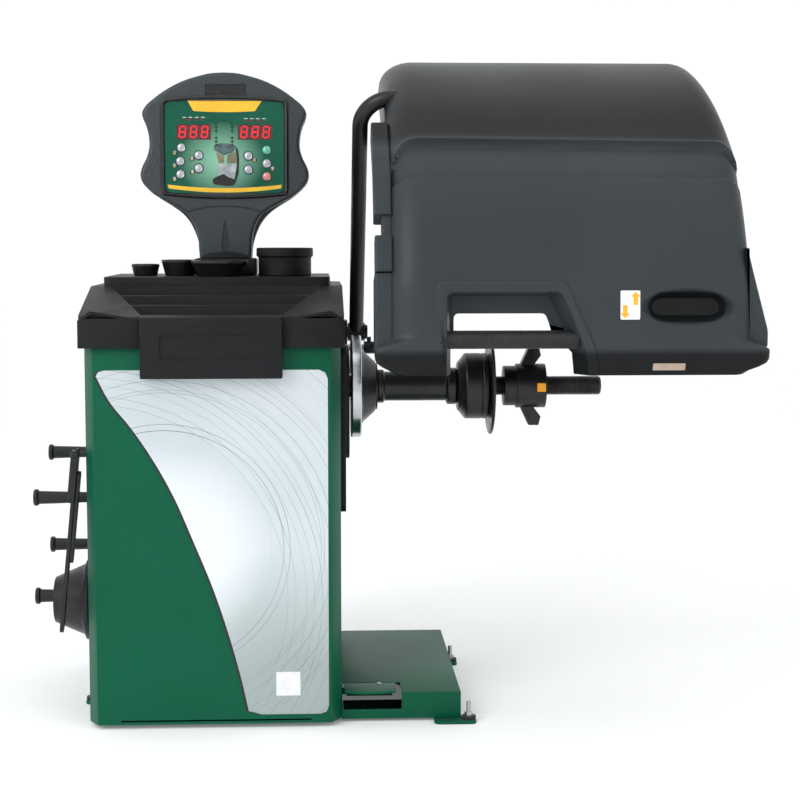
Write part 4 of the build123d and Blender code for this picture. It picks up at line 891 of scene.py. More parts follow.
@dataclass
class Studio:
    """Camera, lamps and floor."""

    eye: Place = (-0.125, -3.165, 0.857)
    look: Place = (88 / 1754, 1.0, -166 / 1754)
    lens: float = 78.93

    def camera(self) -> None:
        """Place the camera and make it the scene's."""
        data = bpy.data.cameras.new("studio_camera")
        data.lens, data.sensor_width, data.clip_end = self.lens, 36.0, 60.0
        camera = self.aimed("studio_camera", data, self.eye, Vector(self.look))
        bpy.context.scene.camera = camera

    def aimed(self, name: str, data: bpy.types.ID, place: Place, look: Vector) -> Piece:
        """An object at a place whose own downward axis looks along a direction."""
        made = enter(name, data)
        made.location = place
        made.rotation_euler = look.to_track_quat("-Z", "Y").to_euler()
        return made

    def lamp(self, name: str, place: Place, aim: Place, size: Point2, power: float) -> None:
        """A rectangular soft box aimed at a point.

        Args:
            name: Name of the lamp.
            place: Where it stands.
            aim: Where it points.
            size: Width and height.
            power: Watts.
        """
        data = bpy.data.lights.new(name, "AREA")
        data.shape = "RECTANGLE"
        data.size, data.size_y = size
        data.energy = power
        self.aimed(name, data, place, Vector(aim) - Vector(place))

    def shade_sheet(self) -> None:
        """A wide plain floor that curves up into a wall all round; it rides on no body, so it isn't part of the
        machine.
        """
        sweep = ((0.0, 5.5), (0.12, 7.0), (0.9, 8.6), (2.6, 9.6), (5.5, 10.0))
        outline = [(0.0, 0.0), *smooth_through(sweep, 24).tolist()]
        made = turned("studio_floor", outline, (0.0, 0.0), Axis.Z, soften=0.0, detail=Detail.FINE)
        dress(made, Finishes.FLOOR)

    def sky(self) -> None:
        """A plain pale surround."""
        world = bpy.data.worlds.new("pale_surround")
        world.use_nodes = True
        back = world.node_tree.nodes["Background"]
        back.inputs["Color"].default_value = (0.96, 0.98, 1.0, 1)
        back.inputs["Strength"].default_value = 0.9
        bpy.context.scene.world = world

    def build(self) -> None:
        """Camera first, then light and floor."""
        self.camera()
        self.sky()
        self.shade_sheet()
        self.lamp("key_soft_box", (-2.6, -2.6, 2.6), (0.0, 0.0, 0.7), (1.4, 2.2), 66.0)
        self.lamp("fill_soft_box", (2.4, -3.0, 1.6), (0.1, 0.0, 0.6), (1.4, 1.8), 10.0)
        self.lamp("top_soft_box", (0.0, -0.9, 3.4), (0.1, 0.0, 0.5), (2.8, 1.2), 10.0)
        bpy.context.scene.view_settings.view_transform = "Standard"
        LOG.info("studio: camera, three lamps and floor")


# ---------------------------------------------------------------- hood


@dataclass
class HoodLine:
    """The hood's side view: a smooth line from its lower lip over the roof to its rear edge (y, z)."""

    points: tuple[Point2, ...] = (
        (-0.344, 0.6285), (-0.3545, 0.668), (-0.352, 0.700), (-0.347, 0.780), (-0.336, 0.822), (-0.289, 0.932),
        (-0.252, 0.989), (-0.192, 1.035), (-0.100, 1.093), (0.001, 1.138), (0.109, 1.168), (0.210, 1.1765),
        (0.300, 1.158),
    )
    samples: int = 3000
    line: np.ndarray = field(init=False)
    inward: np.ndarray = field(init=False)
    run: np.ndarray = field(init=False)

    def __post_init__(self) -> None:
        """Sample the line, its inward normals and its running length."""
        self.line = smooth_through(self.points, self.samples)
        tangent = np.gradient(self.line, axis=0)
        tangent /= np.linalg.norm(tangent, axis=1, keepdims=True)
        self.inward = np.stack([tangent[:, 1], -tangent[:, 0]], axis=1)
        self.run = np.r_[0, np.cumsum(np.linalg.norm(np.diff(self.line, axis=0), axis=1))]

    def run_at(self, height: np.ndarray) -> np.ndarray:
        """Running length of the front of the line at a height."""
        top = int(np.argmax(self.line[:, 1]))
        return np.interp(height, self.line[:top, 1], self.run[:top])

    def at(self, run: np.ndarray) -> tuple[np.ndarray, np.ndarray]:
        """Place and inward normal at a running length."""
        place, normal = (
            np.stack([np.interp(run, self.run, values[:, k]) for k in (0, 1)], axis=-1)
            for values in (self.line, self.inward)
        )
        return place, normal / np.linalg.norm(normal, axis=-1, keepdims=True)

    def face(self, height: np.ndarray) -> np.ndarray:
        """The Y of the hood's front face at a height."""
        return self.at(self.run_at(height))[0][:, 0]

    def lay(self, x: np.ndarray, run: np.ndarray, depth: np.ndarray) -> np.ndarray:
        """Points at x, at a running length, pushed in by a depth along the inward normal."""
        place, normal = self.at(run)
        flat = place + normal * depth[..., None]
        return np.stack(np.broadcast_arrays(x, flat[..., 0], flat[..., 1]), axis=-1)


@dataclass
class Hood:
    """The wheel hood: body, cap and chin in one moulding, with its handle pocket, rim strips and labels."""

    line: HoodLine = field(default_factory=HoodLine)
    wall: float = 0.0045
    left: float = 0.000
    right: float = 0.592
    chin_top: float = 0.668
    crease: float = 0.951
    step: float = 1.007
    band_depth: float = 0.007
    side_depth: float = 0.150
    oval: tuple[float, float, float, float] = (0.4205, 0.5455, 0.740, 0.0225)
    opening: tuple[Point2, ...] = ((0.093, 0.618), (0.093, 0.764), (0.277, 0.764), (0.317, 0.672), (0.323, 0.618))
    collar: tuple[Point2, ...] = ((0.074, 0.6285), (0.074, 0.783), (0.285, 0.783), (0.334, 0.672), (0.342, 0.6285))
    back: tuple[Point2, ...] = ((0.101, 0.618), (0.101, 0.757), (0.262, 0.757), (0.300, 0.672), (0.304, 0.618))

    STRIPS: ClassVar[dict[str, tuple[Point2, Point2, Point2]]] = {
        "hood_rim_high": ((0.898, 1.062), (-0.0235, 0.006), (0.018, 0.060)),
        "hood_rim_notch": ((0.858, 0.902), (-0.011, 0.006), (0.024, 0.060)),
        "hood_rim_middle": ((0.803, 0.862), (-0.0225, 0.006), (0.018, 0.060)),
        "hood_rim_low": ((0.672, 0.800), (-0.0235, 0.006), (0.024, 0.085)),
    }
    RIM: ClassVar[tuple[Point2, ...]] = (
        (0.0, 0.004), (0.0, -0.0006), (0.10, -0.0026), (0.22, -0.0034), (0.84, -0.0030), (0.95, -0.0018), (1.0, 0.0012),
    )
    ARROW: ClassVar[tuple[Point2, ...]] = (
        (0, 0.011), (0.0075, 0.003), (0.0035, 0.003), (0.0035, -0.010), (-0.0035, -0.010), (-0.0035, 0.003),
        (-0.0075, 0.003),
    )

    def _edges(self, height: np.ndarray, front: np.ndarray) -> tuple[np.ndarray, ...]:
        """Side places and flank roundings at each height.

        The chin is wider than the body, and the roof draws in a little at the right.

        Args:
            height: Heights of the rows, as a column.
            front: 1 below the roof's top and 0 behind it.

        Returns:
            Left and right side, then how far each rounding reaches across and inwards: left pair, right pair.
        """
        chin = (1 - ease(height, self.chin_top, self.chin_top + 0.026)) * front
        lip = (1 - ease(height, 0.628, 0.656)) * front
        roof = ease(height, 1.03, 1.165)
        return (
            self.left - 0.024 * chin + 0.030 * lip**2 + 0.004 * roof,
            self.right + 0.0285 * chin - 0.040 * lip**2 - 0.004 * ease(height, 0.80, 1.0) - 0.004 * roof,
            0.060 - 0.042 * chin,
            0.042 - 0.030 * chin,
            0.040 - 0.022 * chin,
            0.038 - 0.026 * chin,
        )

    def _relief(self, x: np.ndarray, height: np.ndarray, roof: np.ndarray) -> np.ndarray:
        """Depth of the moulded relief: the recessed band under the cap, the cap's lip and the oval grip."""
        fall, drop = (
            1 - np.sqrt(np.clip(1 - np.clip(corner, 0, 1) ** 2, 0, 1))
            for corner in ((0.040 - x) / 0.040, (x - 0.556) / 0.036)
        )
        slant = 0.006 * np.clip(x / 0.59, 0, 1)
        step_line = self.step - slant - 0.062 * fall - 0.040 * drop
        crease_line = self.crease - 0.4 * slant - 0.020 * fall - 0.018 * drop
        above_crease = ease(height, crease_line, crease_line + 0.0045)
        above_step = ease(height, step_line, step_line + 0.0030)
        front_band = np.where(roof > 0.5, 0.0, above_crease * (1 - above_step) * self.band_depth)
        cap = np.where(roof > 0.5, -0.002, above_step * -0.002)
        ridge = -0.0036 * np.exp(-(((height - step_line - 0.0055) / 0.0032) ** 2)) * (roof < 0.5)
        low, high, middle, half = self.oval
        reach = np.hypot(x - np.clip(x, low + half, high - half), height - middle)
        grip = 0.024 * (1 - ease(reach, half - 0.009, half + 0.003))
        return front_band + cap + ridge + np.where(roof > 0.5, 0.0, grip)

    def shell(self) -> Piece:
        """The moulding: across each section a side wall, a quarter ellipse, the face, a quarter ellipse, a wall."""
        top_run = float(self.line.run_at(np.array(1.160)))
        heights = stepped(
            (0.6285, 0.664, 0.700, 0.780, 0.925, 0.962, 0.990, 1.014, 1.160),
            (0.006, 0.003, 0.0026, 0.009, 0.0017, 0.0055, 0.0015, 0.006),
        )
        run = np.r_[self.line.run_at(heights), stepped((top_run, self.line.run[-1]), (0.011,))[1:]][:, None]
        height = self.line.at(run)[0][..., 1]
        crown = self.line.run[int(np.argmax(self.line.line[:, 1]))]
        roof = (run > crown).astype(float)
        left, right, left_across, left_in, right_across, right_in = self._edges(height, 1 - roof)
        rise = np.linspace(0, 1, 7)[:-1]
        turn = np.linspace(0, np.pi / 2, 13)
        across, inwards = 1 - np.cos(turn), 1 - np.sin(turn)
        share = (stepped((0.0, 0.345, 0.492), (0.0062, 0.0024)) / 0.492)[1:-1]
        wall = self.side_depth * np.clip(np.sin(np.pi * np.clip(run / self.line.run[-1], 0.02, 0.98)) ** 0.5, 0.3, 1)
        x = np.concatenate(
            [
                left * np.ones(len(rise)),
                left + left_across * across,
                left + left_across + (right - right_across - left - left_across) * share,
                right - right_across * across[::-1],
                right * np.ones(len(rise)),
            ],
            axis=1,
        )
        depth = np.concatenate(
            [
                wall + (left_in - wall) * rise,
                left_in * inwards,
                np.zeros((len(run), len(share))),
                right_in * inwards[::-1],
                right_in + (wall - right_in) * (1 - rise[::-1]),
            ],
            axis=1,
        )
        verts = self.line.lay(x, run, depth + self._relief(x, height, roof)).reshape(-1, 3)
        faces = np.array(grid_faces(*x.shape))
        centre = verts[faces].mean(axis=1)
        gap = np.array(self.opening) * 0.55 + np.array(self.collar) * 0.45
        gap[0, 1] = gap[-1, 1] = 0.60
        cut = inside(centre[:, [0, 2]], gap) & (centre[:, 1] < -0.30)
        LOG.info("hood grid: %d by %d, %d faces cut for the handle", *x.shape, int(cut.sum()))
        made = make_object("hood_moulding", verts, faces[~cut].tolist(), smooth_angle=50.0)
        thick = made.modifiers.new("wall", "SOLIDIFY")
        thick.thickness = self.wall
        thick.offset = -1.0
        return made

    def _on_face(self, name: str, outline: np.ndarray, low: float, high: float) -> Piece:
        """A thin plate in front view whose depth is counted from the hood's face at each height."""
        made = plate(name, outline, low, high)
        points = points_of(made)
        points[:, 1] += self.line.face(points[:, 2])
        set_points(made, points)
        return made

    def _ringed(self, name: str, rings: Sequence[tuple[np.ndarray, object]]) -> Piece:
        """A closed band through chains of (x, z) points, each chain at its own y; its two ends are capped."""
        return tube(name, np.stack([upright(chain, depth) for chain, depth in rings], axis=1), smooth_angle=60.0)

    def collar_piece(self) -> Piece:
        """The raised collar of the handle pocket and its walls back to the rear plate."""
        corner, turns, rear_y = 0.014, 7, -0.309
        outer = soften_profile(self.collar, corner, turns)
        inner = soften_profile(self.opening, corner * 0.8, turns)
        rear = soften_profile(self.back, corner * 0.6, turns)
        inner[[0, -1], 1] = rear[[0, -1], 1] = outer[0, 1]
        rings: list[tuple[np.ndarray, object]] = []
        for share, depth in self.RIM:
            chain = inner if share == 1.0 else outer + (inner - outer) * share
            rings.append((chain, self.line.face(chain[:, 1]) + depth))
        rings += [(rear, rear_y), (rear + (outer - rear) * 0.18, rear_y + 0.003)]
        return self._ringed("hood_pocket_collar", rings)

    def pocket_plate(self) -> Piece:
        """The plate at the back of the pocket, open below for the hand."""
        outer = soften_profile(self.back, 0.008, 6)
        outer[[0, -1], 1] = 0.700
        corners = ((0.106, 0.700), (0.106, 0.728), (0.256, 0.728), (0.262, 0.714), (0.266, 0.700))
        hole = soften_profile(corners, 0.009, 6)
        near, far = -0.3095, -0.306
        return self._ringed("hood_pocket_plate", [(outer, near), (hole, near), (hole, far), (outer, far)])

    def handle(self) -> Piece:
        """The ribbed grip bar: its radius swells and sinks by a half millimetre along it, 2.5 mm a rib."""
        along = stepped((0.088, 0.306), (0.0005,))
        profile = np.stack([along, 0.0150 + 0.0004 * np.sin(2 * np.pi * along / 0.0025)], axis=1)
        return turned("hood_grip_bar", profile[::2].tolist(), (-0.332, 0.6865), Axis.X, soften=0.0, detail=Detail.SMALL)

    def strip(self, name: str, heights: Point2, across: Point2, depths: Point2) -> Piece:
        """A bar along the hood's edge: a rounded box in section, carried up the side line between two heights."""
        run = self.line.run_at(stepped(heights, (0.008,)))[:, None]
        middle = (sum(across) / 2, sum(depths) / 2)
        section = rounded_rectangle(middle, across[1] - across[0], depths[1] - depths[0], 0.004, 4)
        return tube(name, self.line.lay(section[:, 0], run, section[:, 1]))

    def build(self) -> None:
        """Build and dress every piece of the hood."""
        on = ("hood", "hood_plastic")
        settle(self.shell(), Finishes.HOOD, *on, "hood_shell")
        settle(self.collar_piece(), Finishes.HOOD, *on)
        settle(self.pocket_plate(), Finishes.HOOD, *on)
        settle(self.handle(), Finishes.GRIP, *on)
        for name, sizes in self.STRIPS.items():
            settle(self.strip(name, *sizes), Finishes.HOOD, *on)
        flare = soften_loop(((0.584, 0.838), (0.5935, 0.800), (0.6205, 0.700), (0.6205, 0.672), (0.584, 0.672)), 0.006)
        settle(slab("hood_right_flare", flare, -0.332, -0.215, edge=0.003), Finishes.HOOD, *on)
        arrow = np.array(self.ARROW)
        up = arrow + np.array((0.3975, 0.7535))
        down = (arrow * np.array((1.0, -1.0)) + np.array((0.3805, 0.7325)))[::-1]
        chin = rounded_rectangle((0.454, 0.6425), 0.053, 0.0115, 0.001, 2)
        for name, outline, low, high, finish in (
            ("hood_label", rounded_rectangle((0.389, 0.743), 0.032, 0.047, 0.002, 3), -0.0012, 0.003, Finishes.LABEL),
            ("hood_label_up", up, -0.0016, 0.0005, Finishes.SIGNAL),
            ("hood_label_down", down, -0.0016, 0.0005, Finishes.SIGNAL),
            ("hood_chin_plate", chin, -0.0010, 0.002, Finishes.TAN),
        ):
            settle(self._on_face(name, outline, low, high), finish, *on)


# ---------------------------------------------------------------- cabinet, platform and tray


def box_of(node: str) -> np.ndarray:
    """The low and the high corner of a CAD node's box."""
    return np.array(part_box(node))


@dataclass
class Cabinet:
    """The sheet-metal cabinet and its silver front panel film."""

    front: float = -0.165
    bend: float = 0.0022
    film_gap: float = 0.0004
    film_curve: tuple[Point2, ...] = (
        (-0.4935, 0.616), (-0.472, 0.574), (-0.436, 0.528), (-0.400, 0.474), (-0.365, 0.410), (-0.331, 0.330),
        (-0.298, 0.247), (-0.270, 0.160), (-0.250, 0.085), (-0.238, 0.030),
    )

    def film(self, name: str, grow: float, lift: float, finish: Finish) -> None:
        """The film: a long smooth left edge, a straight right edge, rounded corners.

        Args:
            name: Name of the piece.
            grow: How far the outline stands outside the silver one at its left.
            lift: How far its face stands off the cabinet.
            finish: Its finish.
        """
        curve = smooth_through(self.film_curve, 60) - np.array((grow, 0.0))
        low, right, top = 0.024, -0.0985, 0.626
        corners = (
            (curve[-1, 0] + 0.010, low + 0.004), (curve[-1, 0] + 0.022, low),
            (right - 0.014, low), (right - 0.004, low + 0.004), (right, low + 0.014),
            (right, top - 0.016), (right - 0.004, top - 0.005), (right - 0.015, top),
            (curve[0, 0] + 0.014, top), (curve[0, 0] + 0.004, top - 0.003),
        )
        made = plate(name, np.concatenate([curve, np.array(corners)]), self.front - lift, self.front - 0.0001)
        settle(made, finish, "root", "panel_film")

    def build(self) -> None:
        """Build and dress the cabinet."""
        settle(softened_copy("cabinet_shell", self.bend), Finishes.GREEN, "root", "green_paint")
        self.film("front_film_edge", 0.0045, self.film_gap, Finishes.DARK_EDGE)
        self.film("front_film", 0.0, self.film_gap * 2, Finishes.SILVER)
        patch = rounded_rectangle((-0.169, 0.078), 0.042, 0.042, 0.001, 2)
        blank = plate("front_film_patch", patch, self.front - 0.0012, self.front - 0.0006)
        settle(blank, Finishes.LABEL, "root", "panel_film")


class Platform:
    """The floor platform with the brake pedal, its screws and well, and the foot plates."""

    SOFTENED: ClassVar[tuple[tuple[str, float, str], ...]] = (
        ("base_platform", 0.002, "root"), ("foot_plates", 0.0008, "root"), ("brake_pedal", 0.0012, "pedal"),
    )
    SCREW_DOME: ClassVar[tuple[Point2, ...]] = ((-0.001, 0.0), (-0.001, 0.0045), (0.0012, 0.0040), (0.0022, 0.0))
    WELL_MIDDLE: ClassVar[Point2] = (0.060, 0.062)

    def build(self) -> None:
        """Build and dress the platform."""
        for node, width, body in self.SOFTENED:
            settle(softened_copy(node, width), Finishes.GREEN, body, "green_paint")
        low, high = box_of("brake_pedal")
        dome = [(high[2] + rise, radius) for rise, radius in self.SCREW_DOME]
        for index, share in enumerate((0.22, 0.78)):
            place = (low[0] + (high[0] - low[0]) * share, low[1] + 0.060)
            made = turned(f"pedal_screw_{index}", dome, place, Axis.Z, soften=0.0004, detail=Detail.SMALL)
            settle(made, Finishes.ZINC, "pedal", "bright_steel")
        well = rounded_rectangle(box_of("base_platform")[0, :2] + np.array(self.WELL_MIDDLE), 0.112, 0.112, 0.004, 4)
        shade_sheet = slab("pedal_well_floor", well, 0.0055, 0.0075, Axis.Z, edge=0.0003, steps=1)
        settle(shade_sheet, Finishes.INK_AND_SHADE, "root", "black_steel")


@dataclass
class WeightTray:
    """The moulded weight tray: apron and end bands over the CAD shape."""

    edge: float = 0.0022
    apron: Point2 = (0.2410, 0.1035)
    recess: Point2 = (0.176, 0.050)

    def build(self) -> None:
        """Build and dress the tray."""
        on = (Finishes.TRAY, "root", "tray_plastic")
        settle(softened_copy("weight_tray", self.edge), *on)
        low, high = box_of("weight_tray")
        middle, reach = (low[0] + high[0]) / 2, low[1]
        apron = rounded_rectangle((middle, 0.6645), *self.apron, 0.003, 4)
        face = slab("tray_apron", apron, reach - 0.0012, reach + 0.0190, edge=0.0016)
        sunk = rounded_rectangle((middle, 0.6640), *self.recess, 0.008, 5)
        drill(face, plate("apron_cutter", sunk, reach - 0.02, reach + 0.0018))
        settle(face, *on)
        for word, edge, side in (("left", low[0], 1.0), ("right", high[0], -1.0)):
            inner = middle - side * 0.1200
            band = ((edge, 0.6640), (edge, 0.7115), (edge + side * 0.020, 0.7270), (edge + side * 0.028, 0.7270),
                    (inner, 0.7140), (inner, 0.6640))
            pocket = ((edge + side * 0.012, 0.7145), (edge + side * 0.0235, 0.7228), (inner - side * 0.030, 0.7145))
            outline, hole = (soften_loop(points[:: int(side)], 0.0015, 3) for points in (band, pocket))
            made = slab(f"tray_band_{word}", outline, reach + 0.0135, reach + 0.0235, edge=0.0008, steps=2)
            drill(made, plate("band_cutter", hole, reach - 0.02, reach + 0.0200))
            settle(made, *on)


# ---------------------------------------------------------------- display head


@dataclass
class DisplayHead:
    """The display head: body, bezel, panel artwork, digits, lamps and keys."""

    centre_x: float = -0.286
    panel_z: float = 1.018
    face_y: float = 0.1385
    front_y: float = 0.138
    seam_y: float = 0.169
    window_x: float = 57.0
    window_z: float = 28.0
    keys: tuple[str, ...] = (
        "key_left_top", "key_left_middle", "key_left_bottom", "key_inner_left_top", "key_inner_left_bottom",
        "key_inner_right_top", "key_inner_right_bottom", "key_right_top", "key_right_middle", "key_right_bottom",
    )

    OUTLINE: ClassVar[tuple[Point2, ...]] = (
        (0.0, 138.0), (24.0, 136.6), (44.4, 132.1), (76.7, 121.9), (105.7, 107.1), (130.5, 89.6), (146.6, 74.8),
        (152.5, 62.7), (150.6, 53.3), (144.5, 38.5), (139.9, 16.9), (139.9, -1.9), (145.5, -20.7), (154.1, -38.2),
        (156.8, -51.6), (154.1, -63.2), (142.6, -77.7), (123.7, -93.3), (100.1, -108.1), (81.5, -121.6),
        (65.9, -140.4), (57.0, -159.2), (51.1, -178.1), (48.9, -196.0), (48.0, -214.0), (47.0, -226.0), (0.0, -226.0),
    )
    SLIM: ClassVar[tuple[Point2, ...]] = (
        (-0.226, 1.0), (-0.185, 1.0), (-0.159, 0.915), (-0.140, 0.880), (-0.1216, 0.865), (-0.104, 0.960),
        (-0.088, 1.0),
    )
    BEZEL: ClassVar[tuple[Point2, ...]] = (
        (1.045, 0.1395), (1.035, 0.1350), (1.012, 0.1335), (0.985, 0.1345), (0.972, 0.1375), (0.968, 0.1392),
    )
    MARKS: ClassVar[tuple[Point2, ...]] = (
        (-92.5, -10.0), (-93.0, -33.6), (-93.0, -58.4), (-60.3, -20.7), (-59.7, -45.5), (55.4, -22.9), (89.0, -39.0),
    )
    WHEEL: ClassVar[dict[str, tuple[int, Finish, tuple[Point2, ...]]]] = {
        "bowl": (1, Finishes.TEAL_PRINT, (
            (-20.0, 3.0), (-8.6, 7.3), (7.5, 7.3), (19.6, 3.5), (17.8, -6.2), (12.9, -10.5), (4.8, -12.6), (0.0, -15.3),
            (-5.9, -12.1), (-15.3, -7.8), (-20.0, -4.6),
        )),
        "rim_left": (2, Finishes.RIM_PRINT, ((-16.1, -9.0), (-1.1, -15.3), (-1.1, -29.3), (-10.8, -29.3))),
        "rim_right": (2, Finishes.RIM_PRINT, ((4.3, -14.8), (18.3, -7.8), (21.5, -15.3), (23.1, -29.3), (4.3, -29.3))),
        "face": (2, Finishes.STEEL_PRINT, (
            (-10.8, -30.4), (22.6, -30.4), (21.5, -42.2), (17.5, -58.4), (7.5, -55.7), (-1.9, -49.0), (-12.6, -53.0),
            (-13.5, -42.2),
        )),
        "tyre": (3, Finishes.INK_AND_SHADE, (
            (-22.0, -58.4), (-12.6, -53.5), (-1.9, -49.0), (7.5, -55.7), (18.3, -59.7), (15.6, -70.5), (4.8, -71.8),
            (-19.4, -68.6), (-22.6, -64.3),
        )),
        "side": (3, Finishes.INK_AND_SHADE, (
            (19.6, 3.0), (25.0, -4.6), (26.9, -20.7), (25.8, -47.6), (19.6, -66.4), (15.0, -70.5), (19.6, -53.0),
            (22.9, -31.5), (22.6, -18.0),
        )),
    }

    @property
    def middle(self) -> np.ndarray:
        """Middle of the panel in front view."""
        return np.array((self.centre_x, self.panel_z))

    def art(self, name: str, outline: np.ndarray, level: int, finish: Finish) -> None:
        """A printed patch on the panel.

        Args:
            name: Name of the piece.
            outline: Outline about the panel's middle, in millimetres.
            level: Layer of print, 0 nearest the panel.
            finish: Its finish.
        """
        placed = np.asarray(outline, float) * MM + self.middle
        made = plate(name, placed, self.face_y - 0.0002 * (level + 1), self.face_y, edge=0.00005)
        settle(made, finish, "root", "panel_film")

    def bezel(self) -> Piece:
        """The raised rim round the panel, its long sides bowed outwards."""
        half_width, half_height, bow = 0.114, 0.085, 0.007
        side = np.linspace(-1, 1, 17)
        top = np.stack([side[::-1] * half_width, half_height + bow * (1 - side**2)], axis=1)
        under = np.stack([side * half_width, -half_height - bow * (1 - side**2)], axis=1)
        ring = soften_loop(np.concatenate([top, under]).tolist(), 0.018, 6) + self.middle
        layers = [upright(self.middle + (ring - self.middle) * grow, depth) for grow, depth in self.BEZEL]
        return tube("head_bezel", np.array(layers), capped=False)

    def body(self) -> Piece:
        """Both shells of the head as one closed body with a sunk bay for the panel.

        Rings of points run round it: the smooth outline moved in along its normals at each depth, then straight
        lines from there to a rounded rectangle at the same angles, then that rectangle going back into the bay.
        """
        half = smooth_through(self.OUTLINE, 90) * MM
        loop = np.concatenate([half, (half * np.array((-1.0, 1.0)))[::-1][1:-1]])
        along = np.roll(loop, -1, axis=0) - np.roll(loop, 1, axis=0)
        along /= np.maximum(np.linalg.norm(along, axis=1, keepdims=True), 1e-9)
        inward = np.stack([-along[:, 1], along[:, 0]], axis=1)
        inward *= np.sign(np.sum(inward * (np.array((0.0, -0.02)) - loop), axis=1).mean())
        bay = rounded_rectangle((0.0, 0.0), 0.2235, 0.1705, 0.014, 12)
        bay = np.concatenate([bay, bay[:1]])
        share = np.linspace(0, len(bay) - 1, 4000)
        dense = np.stack([np.interp(share, np.arange(len(bay)), bay[:, k]) for k in (0, 1)], axis=1)
        turn, angle = (np.arctan2(points[:, 1], points[:, 0]) for points in (dense, loop))
        order = np.argsort(turn)
        ring = np.stack([np.interp(angle, turn[order], dense[order, k], period=2 * np.pi) for k in (0, 1)], axis=1)
        arc = np.linspace(0, np.pi / 2, 7)
        profile = (
            *zip(0.220 - 0.012 * (1 - np.sin(arc[::-1])), 0.012 * (1 - np.cos(arc[::-1]))),
            (0.1712, 0.0), (0.1706, 0.0012), (0.1694, 0.0012), (0.1688, 0.0),
            *zip(self.front_y + 0.007 * (1 - np.sin(arc)), 0.007 * (1 - np.cos(arc))), (self.front_y, 0.0085),
        )
        rings = [upright(loop + inward * inset + self.middle, depth) for depth, inset in profile]
        rings += [upright(ring + self.middle, depth) for depth in (self.front_y, 0.160)]
        made = tube("head_body", np.array(rings), smooth_angle=32.0)
        bm = bmesh.new()
        bm.from_mesh(made.data)
        if bm.calc_volume(signed=True) < 0:
            bmesh.ops.reverse_faces(bm, faces=bm.faces)
        open_edges = sum(1 for edge in bm.edges if len(edge.link_faces) != 2)
        LOG.info("head body: volume %.5f, open edges %d", bm.calc_volume(), open_edges)
        bm.to_mesh(made.data)
        bm.free()
        return made

    def slim_front(self, piece: Piece) -> None:
        """Narrow the lower front of the head, so that the loose cones and the cup can lift past it.

        Each vertex ahead of the middle seam has its distance from the head's middle multiplied by a share that
        is looked up at its height.

        Args:
            piece: The finished mesh to narrow.
        """
        spots = points_of(piece)
        share = np.interp(spots[:, 2] - self.panel_z, *zip(*self.SLIM))
        share[spots[:, 1] > self.seam_y] = 1.0
        spots[:, 0] = self.centre_x + (spots[:, 0] - self.centre_x) * share
        set_points(piece, spots)

    def recesses(self) -> list[tuple[str, np.ndarray, float]]:
        """The head's shallow recesses: a blank plate above the panel, an arc below it and a drop on the neck.

        The drop's half width at height h between -1 and 1 is the root of 1 less h squared, times a falling line.

        Returns:
            Name, outline and depth of each.
        """
        blank = rounded_rectangle((self.centre_x + 0.003, 1.1225), 0.076, 0.0235, 0.002, 3)
        turn = np.linspace(-0.272, 0.272, 41)
        middle = np.array((self.centre_x, 0.6165))
        outer, inner = (np.stack([r * np.sin(turn), r * np.cos(turn)], axis=1) + middle for r in (0.2940, 0.2908))
        height = np.linspace(-1, 1, 25)
        width = 0.0105 * np.sqrt(np.clip(1 - height**2, 0, 1)) * (0.62 - 0.38 * height)
        drop = np.concatenate([np.stack([width, height], axis=1), np.stack([-width[::-1], height[::-1]], axis=1)[1:-1]])
        drop = drop * np.array((1.0, 0.030)) + np.array((self.centre_x, 0.8535))
        return [("plate", blank, 0.0030), ("arc", np.concatenate([outer[::-1], inner]), 0.0035), ("drop", drop, 0.0055)]

    def digit(self, place: Point2, height: float) -> list[np.ndarray]:
        """Seven slim bars of one figure eight, as outlines about a place, in millimetres."""
        width, bar, lean = height * 0.5, height * 0.11, 0.10
        across = np.array(((-0.5, 0), (-0.38, 0.5), (0.38, 0.5), (0.5, 0), (0.38, -0.5), (-0.38, -0.5)))
        flat = across * np.array((width, bar * 1.2))
        tall = across[:, ::-1] * np.array((bar * 1.2, height / 2))
        bars = [flat + np.array((0, z)) for z in (height / 2, 0, -height / 2)]
        side = width / 2 + 0.4
        bars += [tall + np.array((x, z)) for x in (-side, side) for z in (height / 4, -height / 4)]
        return [np.stack([b[:, 0] + lean * b[:, 1], b[:, 1]], axis=1) * 0.94 + np.array(place) for b in bars]

    def print_panel(self) -> None:
        """Everything printed on the panel: tab, lower strip, arrow columns, key marks and a plain wheel picture."""
        side = np.linspace(-1, 1, 25)
        bow = 1 - side**2
        tab_under = np.stack([side[::-1] * 57, 66.5 - 2.0 * bow], axis=1)
        self.art("panel_tab", np.concatenate([tab_under, np.array(((-68.0, 86.0), (70.0, 86.0)))]), 0, Finishes.YELLOW)
        upper = np.stack([side * 106, -69 - 6.5 * bow], axis=1)
        lower = np.stack([side * 104, -76 - 7.5 * bow], axis=1)
        self.art("panel_strip", np.concatenate([lower, upper[::-1]]), 0, Finishes.YELLOW)
        arrow = np.array(((-3.0, -2.2), (0, 2.6), (3.0, -2.2)))
        for column, x in enumerate((-15.3, 14.3)):
            for row, z in enumerate((42.5, 35.8, 29.0, 17.8, 11.3, 5.0)):
                shape = arrow * np.array((1, -1)) if row < 3 else arrow
                self.art(f"panel_arrow_{column}_{row}", shape + np.array((x, z)), 3, Finishes.INK_AND_SHADE)
        for name, (level, finish, outline) in self.WHEEL.items():
            self.art(f"panel_wheel_{name}", soften_loop(outline, 1.6, 4), level, finish)
        for index, (x, z) in enumerate(self.MARKS):
            self.art(f"panel_mark_{index}", disc((x, z), 5.4, 6), 1, Finishes.DARK_MARK)
            self.art(f"panel_mark_ring_{index}", disc((x, z + 1.0), 2.8, 20), 2, Finishes.STEEL_PRINT)
            self.art(f"panel_mark_bar_{index}", rounded_rectangle((x, z - 2.4), 4.0, 1.6, 0.5, 2), 3, Finishes.YELLOW)
        for node in self.keys:
            spot = (box_of(node).mean(axis=0)[[0, 2]] - self.middle) / MM
